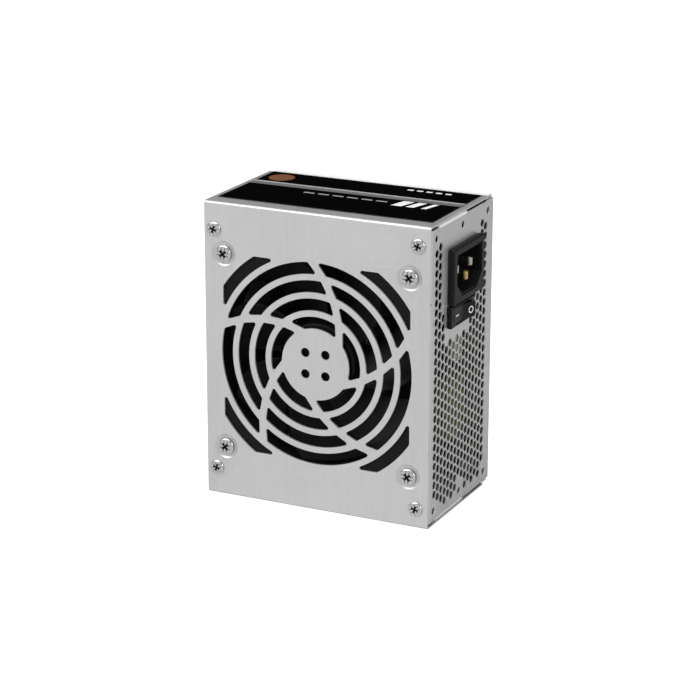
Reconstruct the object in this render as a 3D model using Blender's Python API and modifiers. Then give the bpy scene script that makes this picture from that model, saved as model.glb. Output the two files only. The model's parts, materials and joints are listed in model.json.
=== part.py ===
"""A small power supply unit: a case of two folded sheets with a fan, a mains inlet and a rocker switch.

The unit stands on one of its narrow sides. +X is the inlet side, -Y the fan side and +Z the labelled side.
The origin is the middle of the side that it stands on. Sizes are in metres.
"""

import math

import bmesh
import bpy
from mathutils import Matrix, Vector

# Case
CASE_WIDTH = 0.100  # along X, from the cable panel to the inlet panel
CASE_DEPTH = 0.0635  # along Y, from the fan face to the back plate
CASE_HEIGHT = 0.125  # along Z
SHEET = 0.0008
FOLD_RADIUS = 0.0010  # outer radius of every fold
GAP = 0.0003  # between pieces that touch
FOLD_SEGMENTS = 2

# Lap at the rear, where the cover steps in under the lips of the tray
LIP_LENGTH = 0.0038
LIP_GROOVE = 0.0023
LAP_LENGTH = 0.0023

# Flanges of the tray's end panels
FLANGE_WIDTH = 0.0030
SCREW_TAB_WIDTH = 0.0095
SCREW_TAB_CLEARANCE = 0.0007  # to the fan frame
SIDE_TAB_WIDTH = 0.0050
SIDE_TAB_START = 0.0083  # from the fan face
SIDE_TAB_END = 0.0357
NOTCH_WIDTH = 0.0010
NOTCH_DEPTH = 0.0015
NOTCH_PLACES = (0.0078, 0.0362, 0.0557)  # from the fan face
FLANGE_NOTCH_INSET = 0.0310  # from each end of the case

# Case screws, as X inset and Z inset from the case's edges
LEFT_SCREW_INSET = (0.0045, 0.0115)
RIGHT_SCREW_INSET = (0.0053, 0.0081)
CASE_SCREW_RADIUS = 0.0015
CASE_SCREW_HEAD_RADIUS = 0.0031
CASE_SCREW_HEAD_HEIGHT = 0.0013
CASE_SCREW_LENGTH = 0.0045

# Fan
FAN_SIZE = 0.092
FAN_THICKNESS = 0.015
FAN_WALL = 0.0015
FAN_CORNER_RADIUS = 0.0040
FAN_SCREW_INSET = 0.00475
FAN_SCREW_RADIUS = 0.0021
FAN_SCREW_HEAD_RADIUS = 0.0036
FAN_SCREW_HEAD_HEIGHT = 0.0014
FAN_SCREW_LENGTH = 0.0100
FAN_HUB_RADIUS = 0.0165
FAN_CUP_WALL = 0.0012
FAN_BLADES = 7
FAN_BLADE_THICKNESS = 0.0011
FAN_TIP_CLEARANCE = 0.0011
FAN_STRUT_WIDTH = 0.0035
FAN_STRUT_DEPTH = 0.0025
FAN_SHAFT_RADIUS = 0.0015
FAN_BEARING_RADIUS = 0.0040
FAN_BEARING_LENGTH = 0.0085

# Grille in the fan face
GRILLE_HUB_RADIUS = 0.0150
GRILLE_SLOT = 0.0050
GRILLE_WEB = 0.0025
GRILLE_ARMS = 5
GRILLE_ARM_WIDTH = 0.0030
GRILLE_ARM_RADIUS = 0.0438  # each arm is an arc of this radius
GRILLE_ARM_CENTRE = 0.0353  # distance of the arc's centre from the fan's axis
GRILLE_ARM_TURN = math.radians(159.7)
GRILLE_SQUARE_INSET = 0.0043  # corner slots stop this far inside the fan's sides
GRILLE_HUB_HOLE_RADIUS = 0.00195
GRILLE_HUB_HOLE_PITCH = 0.0090

# Vent in the inlet panel: hexagonal holes with flats at top and bottom
VENT_FLATS = 0.0032
VENT_PITCH = 0.0040
VENT_COLUMNS = 15
VENT_CENTRE = 0.0306  # from the fan face
VENT_MARGIN = 0.0070  # lowest and highest hole centre, from the case's ends
MOUNT_HOLE_RADIUS = 0.0016
MOUNT_HOLE_INSET = 0.0060  # from the case's edges
MOUNT_HOLE_BORDER = 0.0055
VENT_INLET_BORDER = 0.0018  # plain strip at each side of the inlet
VENT_SWITCH_BORDER = 0.0035  # plain strip under the switch
VENT_SWITCH_OVERLAP = 0.0003  # of the hole columns beside the switch with its frame

# Mains inlet
INLET_CENTRE = 0.03205  # from the fan face
INLET_TOP_INSET = 0.02435  # centre, from the labelled side
INLET_WIDTH = 0.0311
INLET_HEIGHT = 0.0233
INLET_PROUD = 0.0030
INLET_EDGE = 0.0008
INLET_BODY_WIDTH = 0.0274
INLET_BODY_HEIGHT = 0.0199
INLET_BODY_DEPTH = 0.0170
INLET_MOUTH_WIDTH = 0.0233
INLET_MOUTH_HEIGHT = 0.0165
INLET_MOUTH_CHAMFER = 0.0050
INLET_MOUTH_DEPTH = 0.0160
PIN_SPACING = 0.0140
PIN_LINE = 0.0016  # live and neutral pins, above the middle of the inlet
EARTH_LINE = -0.0024
PIN_THICKNESS = 0.0020
PIN_HEIGHT = 0.0040
PIN_SET_BACK = 0.0020
EARTH_SET_BACK = 0.0009
PIN_TAIL = 0.0060  # behind the housing

# Rocker switch
SWITCH_CENTRE = 0.02785  # from the fan face
SWITCH_BELOW_INLET = 0.0004
SWITCH_WIDTH = 0.0233
SWITCH_HEIGHT = 0.0090
SWITCH_PROUD = 0.0023
SWITCH_EDGE = 0.0006
SWITCH_BODY_WIDTH = 0.0212
SWITCH_BODY_HEIGHT = 0.0081
SWITCH_BODY_DEPTH = 0.0120
SWITCH_WALL = 0.0006
ROCKER_LENGTH = 0.0184
ROCKER_HEIGHT = 0.0063
ROCKER_AXIS_DEPTH = 0.0010  # behind the panel's face
ROCKER_END_RISE = 0.0044  # of the top at each end, above the axis
ROCKER_MIDDLE_RISE = 0.0032
ROCKER_FOOT = 0.0030
ROCKER_TILT = math.radians(8)
ROCKER_TRUNNION_RADIUS = 0.0008
ROCKER_CLEARANCE = 0.0004
TERMINAL_SPACING = 0.0090
TERMINAL_SECTION = (0.0008, 0.0048)  # along Y and Z
TERMINAL_LENGTH = 0.0070

# Cable outlet in the panel opposite the inlet
OUTLET_RADIUS = 0.0120
OUTLET_WALL = 0.0022
OUTLET_LIP = 0.0020
OUTLET_LIP_THICKNESS = 0.0015
OUTLET_CENTRE = 0.0330  # from the fan face
OUTLET_HEIGHT = 0.0290  # from the side that the case stands on

# Circuit board, parallel to the back plate
BOARD_THICKNESS = 0.0016
BOARD_MARGIN = 0.0030  # to the outside of the case
STANDOFF_LENGTH = 0.0055
STANDOFF_RADIUS = 0.0028
STANDOFF_INSET = 0.0050  # from the board's edges
BOARD_SCREW_RADIUS = 0.0014
BOARD_SCREW_HEAD_RADIUS = 0.0027
BOARD_SCREW_HEAD_HEIGHT = 0.0014
INSULATION = 0.0004
OUTPUT_CAPACITORS = 2
WINDING_THICKNESS = 0.0012  # of a choke's winding, inside and outside its core
WINDING_OVERHANG = 0.0014  # of a choke's winding, over each face of its core
WINDING_EDGE = 0.0018  # of a transformer's winding
CAN_EDGE = 0.0006
HEATSINK_THICKNESS = 0.0030
FIN_THICKNESS = 0.0014
FIN_REACH = 0.0022  # beyond the plate
CORE_LIFT = 0.0025  # of a transformer's core above the board
LEAD_RADIUS = 0.0011
FAN_LEAD_RADIUS = 0.0013

# Label on the narrow side
LABEL_THICKNESS = 0.00015
LABEL_LIFT = 0.00005
LABEL_END_MARGIN = 0.0025
LABEL_FRONT_MARGIN = 0.0070
LABEL_REAR_MARGIN = 0.0073  # from the back plate

HALF_WIDTH = CASE_WIDTH / 2
FRONT = -CASE_DEPTH / 2
BACK = CASE_DEPTH / 2
MIDDLE = CASE_HEIGHT / 2
FAN_FRONT = FRONT + SHEET + GAP
FAN_PITCH = FAN_SIZE - 2 * FAN_SCREW_INSET
FAN_DUCT_RADIUS = FAN_SIZE / 2 - FAN_WALL
INLET_Y = FRONT + INLET_CENTRE
INLET_Z = CASE_HEIGHT - INLET_TOP_INSET
SWITCH_Y = FRONT + SWITCH_CENTRE
SWITCH_Z = INLET_Z - INLET_HEIGHT / 2 - SWITCH_BELOW_INLET - SWITCH_HEIGHT / 2
BOARD_BACK = BACK - SHEET - GAP - STANDOFF_LENGTH - GAP
BOARD_FRONT = BOARD_BACK - BOARD_THICKNESS


# Scene and helpers


def clear_scene():
    for obj in list(bpy.data.objects):
        bpy.data.objects.remove(obj, do_unlink=True)
    parts = bpy.data.collections.new("power_supply_unit")
    cutters = bpy.data.collections.new("cutters")
    for collection in (parts, cutters):
        bpy.context.scene.collection.children.link(collection)
    cutters.hide_render = True
    return parts, cutters


PARTS, CUTTERS = clear_scene()


def finish(name, colour, roughness, metallic=0.0):
    material = bpy.data.materials.new(name)
    material.use_nodes = True
    shader = material.node_tree.nodes["Principled BSDF"]
    shader.inputs["Base Color"].default_value = (*colour, 1)
    shader.inputs["Roughness"].default_value = roughness
    shader.inputs["Metallic"].default_value = metallic
    material.diffuse_color = (*colour, 1)
    return material


def group(name, location):
    """An empty that carries the pieces of one sub-assembly."""
    empty = bpy.data.objects.new(name, None)
    empty.location = location
    empty.empty_display_size = 0.01
    PARTS.objects.link(empty)
    return empty


def piece(name, bm, material, parent=None, location=(0, 0, 0), smooth=True):
    mesh = bpy.data.meshes.new(name)
    bm.to_mesh(mesh)
    bm.free()
    return piece_from_mesh(name, mesh, material, parent, location, smooth)


def piece_from_mesh(name, mesh, material, parent=None, location=(0, 0, 0), smooth=True):
    if smooth:
        mesh.shade_smooth()
        mesh.set_sharp_from_angle(angle=math.radians(35))
    if not mesh.materials:
        mesh.materials.append(material)
    obj = bpy.data.objects.new(name, mesh)
    obj.parent = parent
    obj.location = location
    PARTS.objects.link(obj)
    return obj


def cutter(name, bm, parent=None, location=(0, 0, 0)):
    mesh = bpy.data.meshes.new(name)
    bm.to_mesh(mesh)
    bm.free()
    obj = bpy.data.objects.new(name, mesh)
    obj.parent = parent
    obj.location = location
    hide(obj)
    CUTTERS.objects.link(obj)
    return obj


def hide(obj):
    obj.hide_render = True
    obj.display_type = "WIRE"


def boolean(obj, other, operation="DIFFERENCE"):
    modifier = obj.modifiers.new(operation.title(), "BOOLEAN")
    modifier.object = other
    modifier.operation = operation
    modifier.solver = "EXACT"


def add_box(bm, low, high):
    low, high = Vector(low), Vector(high)
    place = Matrix.Translation((low + high) / 2) @ Matrix.Diagonal((*(high - low), 1))
    return bmesh.ops.create_cube(bm, size=1, matrix=place)["verts"]


def add_rod(bm, start, end, radius, segments=24, end_radius=None):
    start, end = Vector(start), Vector(end)
    turn = (end - start).to_track_quat("Z", "Y").to_matrix().to_4x4()
    bmesh.ops.create_cone(
        bm,
        cap_ends=True,
        segments=segments,
        radius1=radius,
        radius2=radius if end_radius is None else end_radius,
        depth=(end - start).length,
        matrix=Matrix.Translation((start + end) / 2) @ turn,
    )


def box_mesh(low, high):
    bm = bmesh.new()
    add_box(bm, low, high)
    return bm


def bevelled(obj, width, segments=1, angle=30):
    modifier = obj.modifiers.new("Rounded edges", "BEVEL")
    modifier.width = width
    modifier.segments = segments
    modifier.angle_limit = math.radians(angle)
    return obj


def turned(name, profile, material, parent, location=(0, 0, 0), axis="Y", steps=24):
    """A profile of (radius, height) points, run from the top down its outer side, spun about an axis."""
    bm = bmesh.new()
    place = {
        "X": lambda radius, height: (height, radius, 0),
        "Y": lambda radius, height: (0, height, radius),
        "Z": lambda radius, height: (radius, 0, height),
    }[axis]
    points = [bm.verts.new(place(radius, height)) for radius, height in profile]
    for first, second in zip(points, points[1:]):
        bm.edges.new((first, second))
    if profile[0][0] > 0:
        bm.edges.new((points[-1], points[0]))
    obj = piece(name, bm, material, parent, location, smooth=False)
    spin = obj.modifiers.new("Spin", "SCREW")
    spin.axis = axis
    spin.steps = spin.render_steps = steps
    spin.use_merge_vertices = True
    spin.merge_threshold = 1e-5
    spin.use_smooth_shade = True
    return obj


def outline_mesh(name, outlines, thickness, turn=Matrix.Identity(4)):
    """A closed mesh of flat outlines in the XY plane, thickened both ways from it and then turned."""
    curve = bpy.data.curves.new(name, "CURVE")
    curve.dimensions = "2D"
    curve.fill_mode = "BOTH"
    curve.extrude = thickness / 2
    for points in outlines:
        spline = curve.splines.new("POLY")
        spline.points.add(len(points) - 1)
        for point, (x, y) in zip(spline.points, points):
            point.co = (x, y, 0, 1)
        spline.use_cyclic_u = True
    obj = bpy.data.objects.new(name, curve)
    bpy.context.scene.collection.objects.link(obj)
    bpy.context.view_layer.update()
    mesh = bpy.data.meshes.new_from_object(obj.evaluated_get(bpy.context.evaluated_depsgraph_get()))
    bpy.data.objects.remove(obj)
    bpy.data.curves.remove(curve)
    bm = bmesh.new()
    bm.from_mesh(mesh)
    bpy.data.meshes.remove(mesh)
    bmesh.ops.remove_doubles(bm, verts=bm.verts, dist=1e-6)
    bmesh.ops.transform(bm, matrix=turn, verts=bm.verts)
    bmesh.ops.recalc_face_normals(bm, faces=bm.faces)
    return bm


# Turns the XY plane of an outline to face the fan side: x stays X, and y becomes Z.
FACE_FAN_SIDE = Matrix.Rotation(math.radians(90), 4, "X")
# Turns it to face the inlet side: x becomes Y, and y becomes Z.
FACE_INLET_SIDE = Matrix(((0, 0, 1, 0), (1, 0, 0, 0), (0, 1, 0, 0), (0, 0, 0, 1)))


def arc(radius, start, end, segments, centre=(0, 0)):
    angles = [start + (end - start) * i / segments for i in range(segments + 1)]
    return [(centre[0] + radius * math.cos(a), centre[1] + radius * math.sin(a)) for a in angles]


def stadium(length, height, segments=8):
    """A slot outline with round ends, centred."""
    radius = height / 2
    reach = length / 2 - radius
    quarter = math.pi / 2
    return arc(radius, -quarter, quarter, segments, (reach, 0)) + arc(
        radius, quarter, 3 * quarter, segments, (-reach, 0)
    )


def folded_path(corners):
    """The points of an outline with every corner but its two ends rounded to the fold radius."""
    points = [Vector(corners[0])]
    for before, corner, after in zip(corners, corners[1:], corners[2:]):
        corner = Vector(corner)
        inward = (Vector(before) - corner).normalized()
        onward = (Vector(after) - corner).normalized()
        centre = corner + (inward + onward) * FOLD_RADIUS
        first, last = -onward, -inward
        turn = first.angle_signed(last)
        for i in range(FOLD_SEGMENTS + 1):
            direction = first.copy()
            direction.rotate(Matrix.Rotation(-turn * i / FOLD_SEGMENTS, 2))
            points.append(centre + direction * FOLD_RADIUS)
    points.append(Vector(corners[-1]))
    return points


def extrude_edges(bm, edges, offset):
    grown = bmesh.ops.extrude_edge_only(bm, edges=edges)["geom"]
    bmesh.ops.translate(bm, vec=offset, verts=[v for v in grown if isinstance(v, bmesh.types.BMVert)])
    return [e for e in grown if isinstance(e, bmesh.types.BMEdge)]


def sheet_metal(obj):
    shell = obj.modifiers.new("Sheet", "SOLIDIFY")
    shell.thickness = SHEET
    shell.offset = -1
    shell.use_even_offset = True


STEEL = finish("zinc_plated_steel", (0.62, 0.62, 0.60), 0.45, 0.6)
SCREW_STEEL = finish("nickel_plated_screw", (0.72, 0.71, 0.68), 0.25, 1.0)
LABEL_BLACK = finish("black_label_film", (0.01, 0.01, 0.011), 0.35)
FAN_BLACK = finish("black_fan_plastic", (0.012, 0.012, 0.013), 0.5)
INLET_BLACK = finish("charcoal_inlet_plastic", (0.02, 0.02, 0.022), 0.4)
SWITCH_BLACK = finish("black_switch_plastic", (0.015, 0.015, 0.017), 0.3)
BRASS = finish("plated_brass", (0.75, 0.62, 0.35), 0.3, 1.0)
TIN = finish("tinned_contact", (0.7, 0.7, 0.7), 0.3, 1.0)
BEARING_BRONZE = finish("bearing_bronze", (0.55, 0.38, 0.18), 0.4, 1.0)
SHAFT_STEEL = finish("ground_shaft_steel", (0.6, 0.6, 0.62), 0.2, 1.0)
COPPER = finish("enamelled_copper", (0.65, 0.26, 0.08), 0.3, 0.9)
BOARD = finish("circuit_board_laminate", (0.36, 0.40, 0.12), 0.5)
FILM = finish("insulating_film", (0.75, 0.73, 0.65), 0.4)
FERRITE = finish("ferrite", (0.05, 0.05, 0.055), 0.6)
POWDER_CORE = finish("green_powder_core", (0.05, 0.22, 0.10), 0.5)
ALUMINIUM = finish("heatsink_aluminium", (0.68, 0.68, 0.69), 0.35, 1.0)
CAPACITOR_SLEEVE = finish("capacitor_sleeve", (0.02, 0.02, 0.03), 0.3)
BOX_YELLOW = finish("yellow_film_capacitor", (0.75, 0.62, 0.08), 0.4)
PACKAGE = finish("moulded_package", (0.02, 0.02, 0.02), 0.5)
FUSE_SLEEVE = finish("fuse_sleeve", (0.55, 0.50, 0.42), 0.4)
RUBBER = finish("grommet_rubber", (0.02, 0.02, 0.02), 0.7)


# Case


def case_screw_places():
    """(name, X, Z) of the four screws that hold the cover on the tray."""
    for end, across in (("left", -1), ("right", 1)):
        inset = LEFT_SCREW_INSET if across < 0 else RIGHT_SCREW_INSET
        for height, up in (("lower", -1), ("upper", 1)):
            yield (
                f"{height}_{end}",
                across * (HALF_WIDTH - inset[0]),
                MIDDLE + up * (MIDDLE - inset[1]),
            )


def fan_screw_places():
    for end, across in (("left", -1), ("right", 1)):
        for height, up in (("lower", -1), ("upper", 1)):
            yield f"{height}_{end}", across * FAN_PITCH / 2, MIDDLE + up * FAN_PITCH / 2


def mount_hole_places():
    """(Y, Z) of the six tapped holes in the inlet panel."""
    for y in (FRONT + MOUNT_HOLE_INSET, 0, BACK - MOUNT_HOLE_INSET):
        for z in (MOUNT_HOLE_INSET, CASE_HEIGHT - MOUNT_HOLE_INSET):
            yield y, z


def arm_angle(radius, side):
    """The angle where an arm's edge crosses a circle about the fan's axis. Side 1 is reached first."""
    edge = GRILLE_ARM_RADIUS + side * GRILLE_ARM_WIDTH / 2
    cosine = (radius**2 + GRILLE_ARM_CENTRE**2 - edge**2) / (2 * radius * GRILLE_ARM_CENTRE)
    return GRILLE_ARM_TURN - math.acos(cosine)


def ring_slot(inner, turn):
    """A slot from one arm round to the next: its outer arc, then its inner arc back."""
    outer = inner + GRILLE_SLOT
    pitch = 2 * math.pi / GRILLE_ARMS
    segments = max(4, round(outer / 0.005))
    start, end = ([turn + arm_angle(r, -1), turn + pitch + arm_angle(r, 1)] for r in (inner, outer))
    return arc(outer, *end, segments) + arc(inner, start[1], start[0], segments)


def corner_slot(inner, limit):
    """A slot outside the rings, cut off by the square that the fan fills."""
    outer = inner + GRILLE_SLOT
    outer_angle = math.acos(min(1, limit / outer))
    inner_angle = math.acos(min(1, limit / inner))
    quarter = math.pi / 2
    return arc(outer, outer_angle, quarter - outer_angle, 5) + arc(
        inner, quarter - inner_angle, inner_angle, 7
    )


def grille_slots():
    """The outlines of every slot, about the fan's axis."""
    step = GRILLE_SLOT + GRILLE_WEB
    rings = int((FAN_DUCT_RADIUS - GRILLE_HUB_RADIUS + GRILLE_WEB) / step)
    slots = []
    for ring in range(rings):
        for arm in range(GRILLE_ARMS):
            slots.append(ring_slot(GRILLE_HUB_RADIUS + ring * step, arm * 2 * math.pi / GRILLE_ARMS))
    corner = corner_slot(GRILLE_HUB_RADIUS + rings * step, FAN_SIZE / 2 - GRILLE_SQUARE_INSET)
    for across in (1, -1):
        for up in (1, -1):
            slots.append([(across * x, up * y) for x, y in corner])
    return slots


def make_cover():
    """Fan face and both narrow sides of one folded sheet, its rear edges stepped in under the tray's lips."""
    step_y = BACK - LIP_LENGTH - LIP_GROOVE
    lap_y = step_y + LIP_GROOVE / 2
    lap_end = lap_y + LIP_GROOVE / 2 + LAP_LENGTH
    drop = SHEET + GAP
    fold = folded_path([(step_y, CASE_HEIGHT), (FRONT, CASE_HEIGHT), (FRONT, 0), (step_y, 0)])
    path = [
        (lap_end, CASE_HEIGHT - drop),
        (lap_y, CASE_HEIGHT - drop),
        *fold,
        (lap_y, drop),
        (lap_end, drop),
    ]
    bm = bmesh.new()
    points = [bm.verts.new((-HALF_WIDTH, y, z)) for y, z in path]
    edges = [bm.edges.new(pair) for pair in zip(points, points[1:])]
    extrude_edges(bm, edges, (CASE_WIDTH, 0, 0))
    turn_faces_outward(bm, Vector((0, BACK, MIDDLE)))
    cover = piece("fan_cover", bm, STEEL, smooth=False)
    sheet_metal(cover)

    slots = outline_mesh("grille", grille_slots(), 4 * SHEET, FACE_FAN_SIDE)
    boolean(cover, cutter("grille_slots", slots, location=(0, FRONT, MIDDLE)))
    holes = bmesh.new()
    for _, x, z in case_screw_places():
        through_face(holes, x, z, CASE_SCREW_RADIUS + GAP, 12)
    for _, x, z in fan_screw_places():
        through_face(holes, x, z, FAN_SCREW_RADIUS + GAP, 12)
    for across in (-1, 1):
        for up in (-1, 1):
            offset = GRILLE_HUB_HOLE_PITCH / 2
            through_face(holes, across * offset, MIDDLE + up * offset, GRILLE_HUB_HOLE_RADIUS, 16)
    # The stepped edges fit between the tray's end panels.
    panel = HALF_WIDTH - SHEET - 2 * GAP
    for across in (-1, 1):
        inner, outer = sorted((across * panel, across * (HALF_WIDTH + SHEET)))
        add_box(holes, (inner, step_y - GAP, -SHEET), (outer, BACK, 3 * SHEET))
        add_box(holes, (inner, step_y - GAP, CASE_HEIGHT - 3 * SHEET), (outer, BACK, CASE_HEIGHT + SHEET))
    boolean(cover, cutter("cover_holes", holes))


def through_face(bm, x, z, radius, segments):
    add_rod(bm, (x, FRONT - SHEET, z), (x, FRONT + 3 * SHEET, z), radius, segments)


def turn_faces_outward(bm, inside):
    """Points every face of an open folded sheet away from a point inside the case."""
    for face in bm.faces:
        face.normal_update()
    wrong = [f for f in bm.faces if f.normal.dot(f.calc_center_median() - inside) < 0]
    bmesh.ops.reverse_faces(bm, faces=wrong)


def make_tray():
    """Back plate with both end panels folded from it, and flanges that the cover closes on."""
    flange_y = FRONT + SHEET + GAP
    edge_low = SHEET + GAP + FOLD_RADIUS
    edge_high = CASE_HEIGHT - edge_low
    bm = bmesh.new()
    stations = panel_stations()
    right = folded_path([(HALF_WIDTH - FLANGE_WIDTH, flange_y), (HALF_WIDTH, flange_y), (HALF_WIDTH, 0)])[:-1]
    rear = folded_path([(HALF_WIDTH, 0), (HALF_WIDTH, BACK), (0, BACK)])[1:-1]
    half = right + [Vector((HALF_WIDTH, y)) for y in stations] + rear
    path = [Vector(p) for p in half] + [Vector((-p.x, p.y)) for p in reversed(half)]
    points = [bm.verts.new((p.x, p.y, edge_low)) for p in path]
    edges = [bm.edges.new(pair) for pair in zip(points, points[1:])]
    tab_reach = MIDDLE - FAN_SIZE / 2 - SCREW_TAB_CLEARANCE
    notch = FLANGE_NOTCH_INSET
    levels = [tab_reach, notch, notch + NOTCH_WIDTH]
    levels = levels + [CASE_HEIGHT - level for level in reversed(levels)] + [edge_high]
    reached = edge_low
    for level in levels:
        edges = extrude_edges(bm, edges, (0, 0, level - reached))
        reached = level
    drop_flange_at_notches(bm, flange_y, notch)
    grow_screw_tabs(bm, tab_reach)
    grow_side_edges(bm, edge_low, edge_high)
    grow_rear_lips(bm, edge_low, edge_high)
    bmesh.ops.remove_doubles(bm, verts=bm.verts, dist=1e-6)
    turn_faces_outward(bm, Vector((0, 0, MIDDLE)))
    tray = piece("base_tray", bm, STEEL, smooth=False)
    sheet_metal(tray)
    boolean(tray, cutter("vent_holes", vent_cutters()))
    boolean(tray, cutter("tray_cutouts", tray_cutouts()))


def panel_stations():
    """Y of each edge of the notches and of the side tab, front to rear."""
    stations = {FRONT + SIDE_TAB_START, FRONT + SIDE_TAB_END}
    for place in NOTCH_PLACES:
        stations |= {FRONT + place - NOTCH_WIDTH / 2, FRONT + place + NOTCH_WIDTH / 2}
    return sorted(round(y, 7) for y in stations)


def drop_flange_at_notches(bm, flange_y, notch):
    gone = []
    for face in bm.faces:
        middle = face.calc_center_median()
        level = min(middle.z, CASE_HEIGHT - middle.z)
        in_notch = notch < level < notch + NOTCH_WIDTH
        if in_notch and middle.y < flange_y + FOLD_RADIUS:
            gone.append(face)
    bmesh.ops.delete(bm, geom=gone, context="FACES")


def grow_screw_tabs(bm, tab_reach):
    """Widens the front flanges at the case's corners, where the case screws go in."""
    for across in (-1, 1):
        tip = across * (HALF_WIDTH - FLANGE_WIDTH)
        edges = []
        for edge in bm.edges:
            first, second = (v.co for v in edge.verts)
            level = (first.z + second.z) / 2
            at_tip = abs(first.x - tip) < 1e-6 and abs(second.x - tip) < 1e-6 and first.y < 0
            if at_tip and min(level, CASE_HEIGHT - level) < tab_reach and abs(first.z - second.z) > 1e-6:
                edges.append(edge)
        extrude_edges(bm, edges, (across * (FLANGE_WIDTH - SCREW_TAB_WIDTH), 0, 0))


def grow_side_edges(bm, edge_low, edge_high):
    """Carries the end panels up to the narrow sides, as folded tabs or as plain edges."""
    tab = (FRONT + SIDE_TAB_START, FRONT + SIDE_TAB_END)
    notches = [FRONT + place for place in NOTCH_PLACES]
    for across in (-1, 1):
        for level, up in ((edge_low, -1), (edge_high, 1)):
            tabs, plain = [], []
            for edge in bm.edges:
                first, second = (v.co for v in edge.verts)
                level_reached = max(abs(first.z - level), abs(second.z - level)) < 1e-6
                panel = across * HALF_WIDTH
                at_edge = level_reached and max(abs(first.x - panel), abs(second.x - panel)) < 1e-6
                middle = (first.y + second.y) / 2
                if not at_edge or any(abs(middle - y) < NOTCH_WIDTH / 2 for y in notches):
                    continue
                (tabs if tab[0] < middle < tab[1] else plain).append(edge)
            extrude_edges(bm, plain, (0, 0, up * FOLD_RADIUS * 0.6))
            quarter = math.pi / 2
            before = Vector((0, 0))
            for step in range(1, FOLD_SEGMENTS + 1):
                angle = quarter * step / FOLD_SEGMENTS
                now = Vector((math.cos(angle) - 1, math.sin(angle))) * FOLD_RADIUS
                move = now - before
                tabs = extrude_edges(bm, tabs, (across * move.x, 0, up * move.y))
                before = now
            extrude_edges(bm, tabs, (-across * (SIDE_TAB_WIDTH - FOLD_RADIUS), 0, 0))


def grow_rear_lips(bm, edge_low, edge_high):
    """Folds the back plate over the cover's stepped edges."""
    for level, up in ((edge_low, -1), (edge_high, 1)):
        edges = []
        for edge in bm.edges:
            if all(abs(v.co.z - level) < 1e-6 and abs(v.co.y - BACK) < 1e-6 for v in edge.verts):
                edges.append(edge)
        edges = extrude_edges(bm, edges, (0, 0, up * (SHEET + GAP)))
        before = Vector((0, 0))
        for step in range(1, FOLD_SEGMENTS + 1):
            angle = math.pi / 2 * step / FOLD_SEGMENTS
            now = Vector((math.cos(angle) - 1, math.sin(angle))) * FOLD_RADIUS
            move = now - before
            edges = extrude_edges(bm, edges, (0, move.x, up * move.y))
            before = now
        extrude_edges(bm, edges, (0, FOLD_RADIUS - LIP_LENGTH, 0))


def vent_cutters():
    """Hexagonal prisms in staggered columns, left out round the mount holes, the inlet and the switch."""
    bm = bmesh.new()
    column_pitch = VENT_PITCH * math.cos(math.radians(30))
    corner_radius = VENT_FLATS / 2 / math.cos(math.radians(30))
    for column in range(VENT_COLUMNS):
        y = FRONT + VENT_CENTRE + (column - (VENT_COLUMNS - 1) / 2) * column_pitch
        z = VENT_MARGIN + (VENT_PITCH / 2 if column % 2 == 0 else 0)
        while z < CASE_HEIGHT - VENT_MARGIN:
            if vent_is_clear(y, z):
                add_hexagon(bm, y, z, corner_radius)
            z += VENT_PITCH
    return bm


def add_hexagon(bm, y, z, corner_radius):
    turn = Matrix.Rotation(math.radians(90), 4, "Y")
    bmesh.ops.create_cone(
        bm,
        cap_ends=True,
        segments=6,
        radius1=corner_radius,
        radius2=corner_radius,
        depth=6 * SHEET,
        matrix=Matrix.Translation((HALF_WIDTH, y, z)) @ turn @ Matrix.Rotation(math.radians(30 + 60), 4, "Z"),
    )


def vent_is_clear(y, z):
    for hole_y, hole_z in mount_hole_places():
        if math.hypot(y - hole_y, z - hole_z) < MOUNT_HOLE_BORDER:
            return False
    rim = VENT_FLATS / 2
    beside_inlet = abs(y - INLET_Y) < INLET_WIDTH / 2 + rim + VENT_INLET_BORDER
    in_inlet = beside_inlet and z > INLET_Z - INLET_HEIGHT / 2 - rim
    beside_switch = abs(y - SWITCH_Y) < SWITCH_WIDTH / 2 + rim - VENT_SWITCH_OVERLAP
    in_switch = beside_switch and z > SWITCH_Z - SWITCH_HEIGHT / 2 - rim - VENT_SWITCH_BORDER
    return not (in_inlet or in_switch)


def tray_cutouts():
    bm = bmesh.new()
    inner, outer = HALF_WIDTH - 3 * SHEET, HALF_WIDTH + SHEET
    for y, z in mount_hole_places():
        add_rod(bm, (inner, y, z), (outer, y, z), MOUNT_HOLE_RADIUS, 12)
    panel_window(bm, INLET_Y, INLET_Z, INLET_BODY_WIDTH + 2 * GAP, INLET_BODY_HEIGHT + 2 * GAP)
    panel_window(bm, SWITCH_Y, SWITCH_Z, SWITCH_BODY_WIDTH + 2 * GAP, SWITCH_BODY_HEIGHT + 2 * GAP)
    outlet = (FRONT + OUTLET_CENTRE, OUTLET_HEIGHT)
    add_rod(bm, (-inner, *outlet), (-outer, *outlet), OUTLET_RADIUS + GAP, 32)
    flange_y = FRONT + SHEET + GAP
    for _, x, z in case_screw_places():
        add_rod(bm, (x, flange_y - SHEET, z), (x, flange_y + 3 * SHEET, z), CASE_SCREW_RADIUS + GAP / 2, 12)
    for place in NOTCH_PLACES:
        y = FRONT + place
        for across in (-1, 1):
            for z in (0, CASE_HEIGHT):
                reach = SHEET + GAP + FOLD_RADIUS + NOTCH_DEPTH
                add_box(
                    bm,
                    (across * HALF_WIDTH - 2 * SHEET, y - NOTCH_WIDTH / 2, z - reach),
                    (across * HALF_WIDTH + 2 * SHEET, y + NOTCH_WIDTH / 2, z + reach),
                )
    return bm


def panel_window(bm, y, z, width, height):
    add_box(
        bm,
        (HALF_WIDTH - 3 * SHEET, y - width / 2, z - height / 2),
        (HALF_WIDTH + SHEET, y + width / 2, z + height / 2),
    )


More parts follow.
